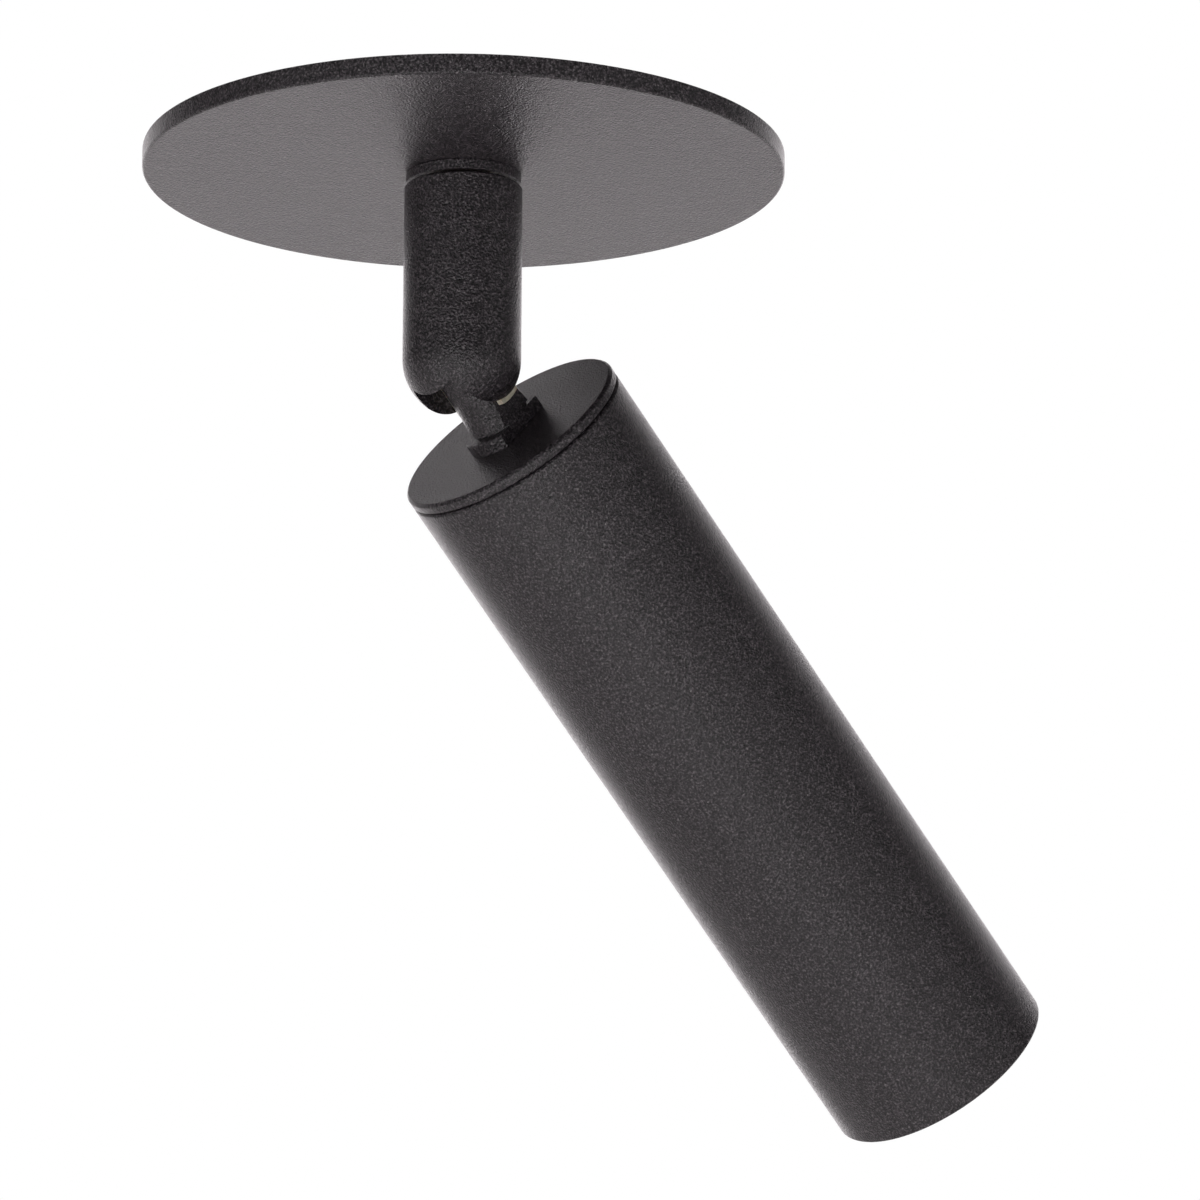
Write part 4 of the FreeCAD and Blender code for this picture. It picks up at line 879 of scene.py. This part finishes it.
knuckle = turned("knuckle_arm", [
    (KNUCKLE_BORE_RADIUS, KNUCKLE_END),
    (KNUCKLE_THREAD_RADIUS - COAT_ROUNDING, KNUCKLE_END),
    (KNUCKLE_THREAD_RADIUS, KNUCKLE_END + COAT_ROUNDING),
    (KNUCKLE_THREAD_RADIUS, CAP_FACE),
    (KNUCKLE_FLANGE_RADIUS, CAP_FACE),
    (KNUCKLE_FLANGE_RADIUS, KNUCKLE_FLANGE_TOP - KNUCKLE_EDGE_BREAK),
    (KNUCKLE_FLANGE_RADIUS - KNUCKLE_EDGE_BREAK, KNUCKLE_FLANGE_TOP),
    (KNUCKLE_GROOVE_RADIUS, KNUCKLE_FLANGE_TOP),
    (KNUCKLE_GROOVE_RADIUS, KNUCKLE_GROOVE_TOP),
    (KNUCKLE_FOOT_RADIUS, KNUCKLE_GROOVE_TOP),
    (KNUCKLE_TOP_RADIUS, KNUCKLE_TAPER_START),
    (KNUCKLE_TOP_RADIUS, SLOT_RADIUS),
    (KNUCKLE_BORE_RADIUS, SLOT_RADIUS),
], MEDIUM_STEPS)
reach = KNUCKLE_FLANGE_RADIUS + CUT_MARGIN
tongue_outline = [
    (-reach, KNUCKLE_END - CUT_MARGIN),
    (reach, KNUCKLE_END - CUT_MARGIN),
    (reach, 0.0),
    *arc(KNUCKLE_END_RADIUS, 0.0, 180.0, 2 * SLOT_STEPS),
    (-reach, 0.0),
]
worked(knuckle, "INTERSECT",
       pressed("tongue_mill", tongue_outline, -KNUCKLE_HALF_FLATS, KNUCKLE_HALF_FLATS))
worked(knuckle, "DIFFERENCE", lying("pivot_drill", SCREW_RADIUS + FIT_GAP, -reach, reach, 0.0, 0.0))
hung(softened(knuckle, KNUCKLE_ROUNDING))
stands_for(knuckle, black_coat, "knuckle", "head")


def natural_nylon():
    """Natural nylon: cream, slightly cloudy and waxy."""
    finish = Finish("natural nylon", Subsurface_Weight=0.15, Subsurface_Scale=0.001)
    cloud = finish.noise(0.0008, detail=4.0)
    finish.colour(cloud, (0.25, (0.26, 0.235, 0.18)), (0.5, (0.42, 0.385, 0.30)),
                  (0.8, (0.52, 0.48, 0.39)))
    finish.roughness(0.38 + 0.2 * cloud)
    finish.bump(cloud, 0.00003)
    return finish


nylon = natural_nylon()
foot = math.degrees(math.asin(PAD_HALF_WIDTH / PAD_REACH))
pad_outline = [
    *arc(PAD_HALF_WIDTH, 0.0, 180.0, SLOT_STEPS),
    *arc(PAD_REACH, 270.0 - foot, 270.0 + foot, SLOT_STEPS // 2),
]
for side, name, node in ((-1, "nylon_pad_front", "friction_pad_front"),
                         (1, "nylon_pad_back", "friction_pad_back")):
    inner = side * KNUCKLE_HALF_FLATS
    left, right = sorted((inner, inner + side * PAD_THICKNESS))
    pad = pressed(name, pad_outline, left, right)
    worked(pad, "DIFFERENCE", lying("pad_drill", SCREW_RADIUS + FIT_GAP, left - CUT_MARGIN,
                                    right + CUT_MARGIN, 0.0, 0.0))
    hung(softened(pad))
    stands_for(pad, nylon, node, "head")

# The grommet in the knuckle's stud is black rubber with a faint bloom.
rubber = clouded("moulded rubber", 0.002, 4.0, (0.015, 0.015, 0.015), (0.04, 0.04, 0.039), 0.6, 0.2)
rubber.coat("cable_grommet")

# ------------------------------------------------------------------ tube cap
# The turned cap closes the head. Its band is as wide as the tube, with a dark shadow groove under
# it, and its skirt goes down into the tube.

TUBE_RADIUS = 0.020
TUBE_BORE_RADIUS = 0.0184
FIT_RADIUS = 0.01835
CAP_EDGE_BREAK = 0.00045
CAP_BAND = 0.0017
TUBE_START = CAP_FACE - 0.0021
CAP_GROOVE_RADIUS = 0.0194
CAP_THICKNESS = 0.004
CAP_SKIRT_END = CAP_FACE - 0.008
CAP_SKIRT_RADIUS = 0.01595
CAP_HOLE_RADIUS = 0.0041
cap = turned("head_cap", [
    (CAP_HOLE_RADIUS, CAP_FACE),
    (TUBE_RADIUS - CAP_EDGE_BREAK, CAP_FACE),
    (TUBE_RADIUS, CAP_FACE - CAP_EDGE_BREAK),
    (TUBE_RADIUS, CAP_FACE - CAP_BAND),
    (CAP_GROOVE_RADIUS, CAP_FACE - CAP_BAND),
    (CAP_GROOVE_RADIUS, TUBE_START),
    (FIT_RADIUS, TUBE_START),
    (FIT_RADIUS, CAP_SKIRT_END),
    (CAP_SKIRT_RADIUS, CAP_SKIRT_END),
    (CAP_SKIRT_RADIUS, CAP_FACE - CAP_THICKNESS),
    (CAP_HOLE_RADIUS, CAP_FACE - CAP_THICKNESS),
], FINE_STEPS)
hung(softened(cap))
stands_for(cap, black_coat, "tube_cap", "head")

# ------------------------------------------------------------------ tube
# A plain cut length of aluminium tube, 40 mm across with a 1.6 mm wall, its ends lightly broken.
# It carries the cap at its upper end and the ring of the mouth at its lower end.

TUBE_END = CAP_FACE - 0.1378
TUBE_EDGE_BREAK = 0.0003
tube = turned("lamp_tube", [
    (TUBE_BORE_RADIUS, TUBE_START),
    (TUBE_RADIUS - TUBE_EDGE_BREAK, TUBE_START),
    (TUBE_RADIUS, TUBE_START - TUBE_EDGE_BREAK),
    (TUBE_RADIUS, TUBE_END + TUBE_EDGE_BREAK),
    (TUBE_RADIUS - TUBE_EDGE_BREAK, TUBE_END),
    (TUBE_BORE_RADIUS, TUBE_END),
], FINE_STEPS)
hung(softened(tube))
stands_for(tube, black_coat, "tube_body", "head")

# ------------------------------------------------------------------ driver in the tube
# A green board with a taped transformer, two capacitors and two connectors, in a white sleeve.
# Its leads come from the knuckle above and go on to the light source below.

white_plastic.coat("driver_sleeve", "driver_input_connector", "driver_output_connector")


def solder_mask():
    """Green solder mask, with the copper tracks under it as slightly lighter fields."""
    finish = Finish("solder mask")
    tracks = finish.cells(0.0032, "F2")
    finish.colour(tracks, (0.46, (0.012, 0.13, 0.045)), (0.5, (0.03, 0.22, 0.08)))
    finish.roughness(0.22 + 0.1 * tracks)
    finish.bump(finish.step(tracks, 0.45, 0.5), 0.00003)
    return finish


solder_mask().coat("driver_board")

# Yellow polyester tape is wound round the transformer, and black film shrunk round the capacitors.
tape = clouded("polyester tape", 0.0015, 3.0, (0.58, 0.40, 0.045), (0.78, 0.60, 0.12), 0.18, 0.16,
                relief=0.00004)
tape.coat("driver_transformer")
film = clouded("shrunk film", 0.002, 3.0, (0.02, 0.02, 0.024), (0.045, 0.045, 0.05), 0.18, 0.14)
film.coat("driver_capacitors")
silicone_skin.coat("head_leads", "led_leads")

# ------------------------------------------------------------------ heat sink and light source
# A finned aluminium slug in the tube, and a square white ceramic light source clamped to it by a
# moulded holder with two cross headed screws.

HOLDER_FRONT = CAP_FACE - 0.1032
HOLDER_SEAT = HOLDER_FRONT + 0.0014
HOLDER_BACK = HOLDER_FRONT + 0.0032
HOLDER_SCREW_TIP = HOLDER_BACK + 0.004
HOLDER_SCREW_PLACE = 0.0125
HOLDER_HEAD_RADIUS = 0.00275
HOLDER_HEAD_FLAT_RADIUS = HOLDER_HEAD_RADIUS * 0.75
HOLDER_SCREW_ROUNDING = 0.00006
CROSS_WIDTH = 0.0006
CROSS_DEPTH = 0.0009
CROSS_REACH = 0.0015
LIGHT_RADIUS = 0.005
LIGHT_SHOULDER_RADIUS = LIGHT_RADIUS * 0.93
LIGHT_FLAT_RADIUS = LIGHT_RADIUS * 0.8
LIGHT_BACK = HOLDER_BACK - 0.0013
LIGHT_FRONT = LIGHT_BACK - 0.0004

# Machined aluminium has a fine haze over close tool marks.
aluminium = clouded("machined aluminium", 0.003, 5.0, (0.66, 0.66, 0.67), (0.82, 0.82, 0.83), 0.24, 0.24,
                    Metallic=1.0)
aluminium.tooled("Z", 1200.0, 1.0, 1.0, TOOL_MARK)
aluminium.coat("heat_sink")

# The pad is grey silicone loaded with chalky filler, and the light source's board white ceramic.
filled = clouded("thermal silicone", 0.0006, 4.0, (0.34, 0.36, 0.39), (0.48, 0.50, 0.53), 0.6, 0.2)
filled.coat("thermal_pad")
ceramic = clouded("white ceramic", 0.0004, 3.0, (0.80, 0.80, 0.78), (0.88, 0.88, 0.86), 0.36, 0.18)
ceramic.coat("led_chip")
white_plastic.coat("led_holder")


def phosphor():
    """Yellow phosphor in clear silicone, unlit, with the light chips faintly darker under it."""
    finish = Finish("phosphor", Coat_Weight=0.3)
    chips = finish.cells(0.0011)
    grain = finish.noise(0.0003, detail=3.0)
    finish.colour(chips * 0.5 + grain * 0.5, (0.2, (0.72, 0.50, 0.06)), (0.6, (0.90, 0.72, 0.16)))
    finish.roughness(0.24 + 0.2 * grain)
    return finish


light = turned("phosphor_disc", [
    (0.0, LIGHT_BACK),
    (LIGHT_RADIUS, LIGHT_BACK),
    (LIGHT_RADIUS, (LIGHT_BACK + LIGHT_FRONT) / 2),
    (LIGHT_SHOULDER_RADIUS, LIGHT_FRONT + FIT_GAP),
    (LIGHT_FLAT_RADIUS, LIGHT_FRONT),
    (0.0, LIGHT_FRONT),
], MEDIUM_STEPS, closed=False)
hung(softened(light, FINE_ROUNDING))
stands_for(light, phosphor(), "led_phosphor", "head")

holder_screws = []
for side in (-1, 1):
    screw = turned("cross_screw", [
        (0.0, HOLDER_SCREW_TIP),
        (SCREW_RADIUS - THREAD_SHARE * SMALL_PITCH, HOLDER_SCREW_TIP),
        *reversed(thread(SCREW_RADIUS, HOLDER_SEAT, HOLDER_SCREW_TIP - SMALL_PITCH / 2, SMALL_PITCH)),
        (HOLDER_HEAD_RADIUS, HOLDER_SEAT),
        (HOLDER_HEAD_RADIUS, (HOLDER_SEAT + HOLDER_FRONT) / 2),
        (HOLDER_HEAD_FLAT_RADIUS, HOLDER_FRONT),
        (0.0, HOLDER_FRONT),
    ], DRILL_STEPS, closed=False)
    for reach_x, reach_y in ((CROSS_REACH, CROSS_WIDTH / 2), (CROSS_WIDTH / 2, CROSS_REACH)):
        worked(screw, "DIFFERENCE", block("cross_cutter", (-reach_x, -reach_y, HOLDER_FRONT - CUT_MARGIN),
                                          (reach_x, reach_y, HOLDER_FRONT + CROSS_DEPTH)))
    holder_screws.append(moved(softened(screw, HOLDER_SCREW_ROUNDING), 0.0, side * HOLDER_SCREW_PLACE))
fixings = hung(paired("cross_head_screws", *holder_screws))
stands_for(fixings, zinc, "led_holder_screws", "head")

# ------------------------------------------------------------------ reflector
# A spun bowl of bright anodised aluminium, which stands on the holder and widens to a rim that is
# held behind the glass.

THROAT_RADIUS = 0.0063
MOUTH_RADIUS = 0.0165
REFLECTOR_FRONT = HOLDER_FRONT - 0.019
REFLECTOR_RIM = 0.0012
REFLECTOR_WALL = 0.0008
BOWL_STEPS = 20


def bowl(gap):
    """The bowl's curved side, from the throat to the mouth, thickened by a gap."""
    points = []
    for step in range(BOWL_STEPS + 1):
        share = step / BOWL_STEPS
        radius = math.sqrt(THROAT_RADIUS ** 2 + (MOUTH_RADIUS ** 2 - THROAT_RADIUS ** 2) * share)
        points.append((radius + gap, HOLDER_FRONT + (REFLECTOR_FRONT - HOLDER_FRONT) * share))
    return points


outside = [point for point in bowl(REFLECTOR_WALL) if point[1] > REFLECTOR_FRONT + REFLECTOR_RIM]
reflector = turned("spun_reflector", [
    *bowl(0.0),
    (FIT_RADIUS, REFLECTOR_FRONT),
    (FIT_RADIUS, REFLECTOR_FRONT + REFLECTOR_RIM),
    (MOUTH_RADIUS + REFLECTOR_WALL, REFLECTOR_FRONT + REFLECTOR_RIM),
    *reversed(outside),
], FINE_STEPS)
hung(softened(reflector, SMALL_ROUNDING))

# Bright anodised aluminium has a faint haze.
anodised = clouded("bright anodised", 0.003, 4.0, (0.80, 0.80, 0.81), (0.90, 0.90, 0.91), 0.08, 0.1,
                   relief=0.00002, Metallic=1.0)
stands_for(reflector, anodised, "reflector", "head")

# ------------------------------------------------------------------ glass and its ring
# A disc of clear toughened glass with its edge lightly broken, on a ring of translucent silicone
# that lies on the reflector's rim.

GLASS_FRONT = REFLECTOR_FRONT - 0.0028
GLASS_BACK = REFLECTOR_FRONT - 0.0008

# The ring is translucent silicone, and the toughened glass has the faintest smears.
clear_silicone = clouded("clear silicone", 0.002, 3.0, (0.64, 0.64, 0.61), (0.78, 0.78, 0.75), 0.36, 0.2,
                         Subsurface_Weight=0.3, Subsurface_Scale=0.001)
clear_silicone.coat("glass_gasket")
clear_glass = clouded("clear glass", 0.008, 5.0, (0.93, 0.95, 0.95), (0.97, 0.98, 0.98), 0.01, 0.04,
                      Transmission_Weight=1.0, IOR=1.5)
glass = turned("glass_disc", [
    (0.0, GLASS_FRONT),
    (FIT_RADIUS, GLASS_FRONT),
    (FIT_RADIUS, GLASS_BACK),
    (0.0, GLASS_BACK),
], FINE_STEPS, closed=False)
hung(softened(glass, FULL_ROUNDING))
stands_for(glass, clear_glass, "front_glass", "head")

# ------------------------------------------------------------------ baffle ring
# A black ring let into the mouth, which holds the glass and widens in steps against glare. It is
# the last piece to go in.

BAFFLE_FRONT = CAP_FACE - 0.137
BAFFLE_MOUTH_RADIUS = 0.0175
BAFFLE_STEPS = 3

# The mouth's inside is painted matt black.
matt_black = clouded("matt black paint", 0.0004, 3.0, (0.008, 0.008, 0.008), (0.02, 0.02, 0.02), 0.68, 0.16,
                     relief=0.00004)
baffle_outline = [(FIT_RADIUS, BAFFLE_FRONT), (FIT_RADIUS, GLASS_FRONT)]
for step in range(BAFFLE_STEPS):
    step_radius = MOUTH_RADIUS + (BAFFLE_MOUTH_RADIUS - MOUTH_RADIUS) * step / (BAFFLE_STEPS - 1)
    for edge in (step, step + 1):
        baffle_outline.append(
            (step_radius, GLASS_FRONT + (BAFFLE_FRONT - GLASS_FRONT) * edge / BAFFLE_STEPS))
baffle = turned("stepped_baffle", baffle_outline, FINE_STEPS)
hung(softened(baffle, SMALL_ROUNDING))
stands_for(baffle, matt_black, "baffle_ring", "head")

# ------------------------------------------------------------------ floor, light and camera
# A pale floor far below, as in a small product studio. The camera sees pure white, but the light
# comes from a bright backdrop ahead of the camera, a glow overhead and three soft boxes.

FLOOR_DEPTH = 0.62
FLOOR_SIZE = 8.0
bpy.ops.object.select_all(action="DESELECT")
bpy.ops.mesh.primitive_plane_add(size=FLOOR_SIZE, location=(0.0, 0.0, -FLOOR_DEPTH))
floor = bpy.context.object
floor.name = "studio_floor"
pale_floor = clouded("pale floor", 0.4, 3.0, (0.80, 0.80, 0.79), (0.84, 0.84, 0.83), 0.75, 0.1)
pale_floor.on(floor)

CAMERA_PLACE = (-0.70155, -0.77736, -0.33722)
CAMERA_YAW = math.radians(43.316)
CAMERA_PITCH = math.radians(14.041)
CAMERA_ROLL = math.radians(-0.279)
CAMERA_LENS = 199.26
CAMERA_SENSOR = 36.0
WHITE = (1.0, 1.0, 1.0, 1.0)
CAST_COLOUR = (1.0, 0.95, 0.97, 1.0)
DOT_OUTPUT = 1
ROOM_LIGHT = 0.1
BACKDROP_LIGHT = 3.0
BACKDROP_EDGE = 0.66
BACKDROP_FULL = 0.95
OVERHEAD_LIGHT = 2.1
OVERHEAD_EDGE = 0.8
OVERHEAD_FULL = 0.95

surround = bpy.data.worlds.new("white surround")
surround.use_nodes = True
studio = Nodes(surround.node_tree)
seen = studio.node("ShaderNodeBackground", {}, Color=WHITE, Strength=1.0)
forward = (math.sin(CAMERA_YAW), math.cos(CAMERA_YAW), 0.0)
upward = (0.0, 0.0, 1.0)
direction = studio.node("ShaderNodeTexCoord", {})


def glow(towards, edge, full, low, high):
    """Light that rises from low to high as the direction nears the one that it comes from."""
    nearness = studio.node("ShaderNodeVectorMath", {"operation": "DOT_PRODUCT"}, direction, towards,
                           output=DOT_OUTPUT)
    return studio.node("ShaderNodeMapRange", {}, nearness, edge, full, low, high)


backdrop = glow(forward, BACKDROP_EDGE, BACKDROP_FULL, ROOM_LIGHT, BACKDROP_LIGHT)
overhead = glow(upward, OVERHEAD_EDGE, OVERHEAD_FULL, 0.0, OVERHEAD_LIGHT)
cast = studio.node("ShaderNodeBackground", {}, Color=CAST_COLOUR, Strength=backdrop + overhead)
mixed = studio.node("ShaderNodeMixShader", {}, studio.node("ShaderNodeLightPath", {}), cast, seen)
studio.feed(surround.node_tree.nodes["World Output"].inputs["Surface"], mixed)
bpy.context.scene.world = surround
bpy.context.scene.view_settings.view_transform = "Standard"

camera = bpy.data.cameras.new("camera")
camera.lens = CAMERA_LENS
camera.sensor_width = CAMERA_SENSOR
camera_stand = bpy.data.objects.new("camera", camera)
bpy.context.scene.collection.objects.link(camera_stand)
upright = Matrix.Rotation(-CAMERA_YAW, 4, "Z") @ Matrix.Rotation(math.pi / 2 + CAMERA_PITCH, 4, "X")
camera_stand.matrix_world = Matrix.Translation(CAMERA_PLACE) @ upright @ Matrix.Rotation(-CAMERA_ROLL, 4, "Z")
bpy.context.scene.camera = camera_stand

LAMP_MIDDLE = (0.05, 0.0, -0.08)
SOFT_BOXES = (
    ("left_box", (-1.0, 0.25, 0.0), 0.5, 0.8),
    ("right_box", (0.45, -0.9, 0.0), 0.5, 0.8),
    ("low_box", (-0.68, -0.50, -0.60), 0.32, 5.0),
)
for name, place, size, watts in SOFT_BOXES:
    soft_box = bpy.data.lights.new(name, "AREA")
    soft_box.size = size
    soft_box.energy = watts
    stand = bpy.data.objects.new(name, soft_box)
    bpy.context.scene.collection.objects.link(stand)
    aim = (Vector(LAMP_MIDDLE) - Vector(place)).to_track_quat("-Z", "Y").to_matrix().to_4x4()
    stand.matrix_world = Matrix.Translation(place) @ aim
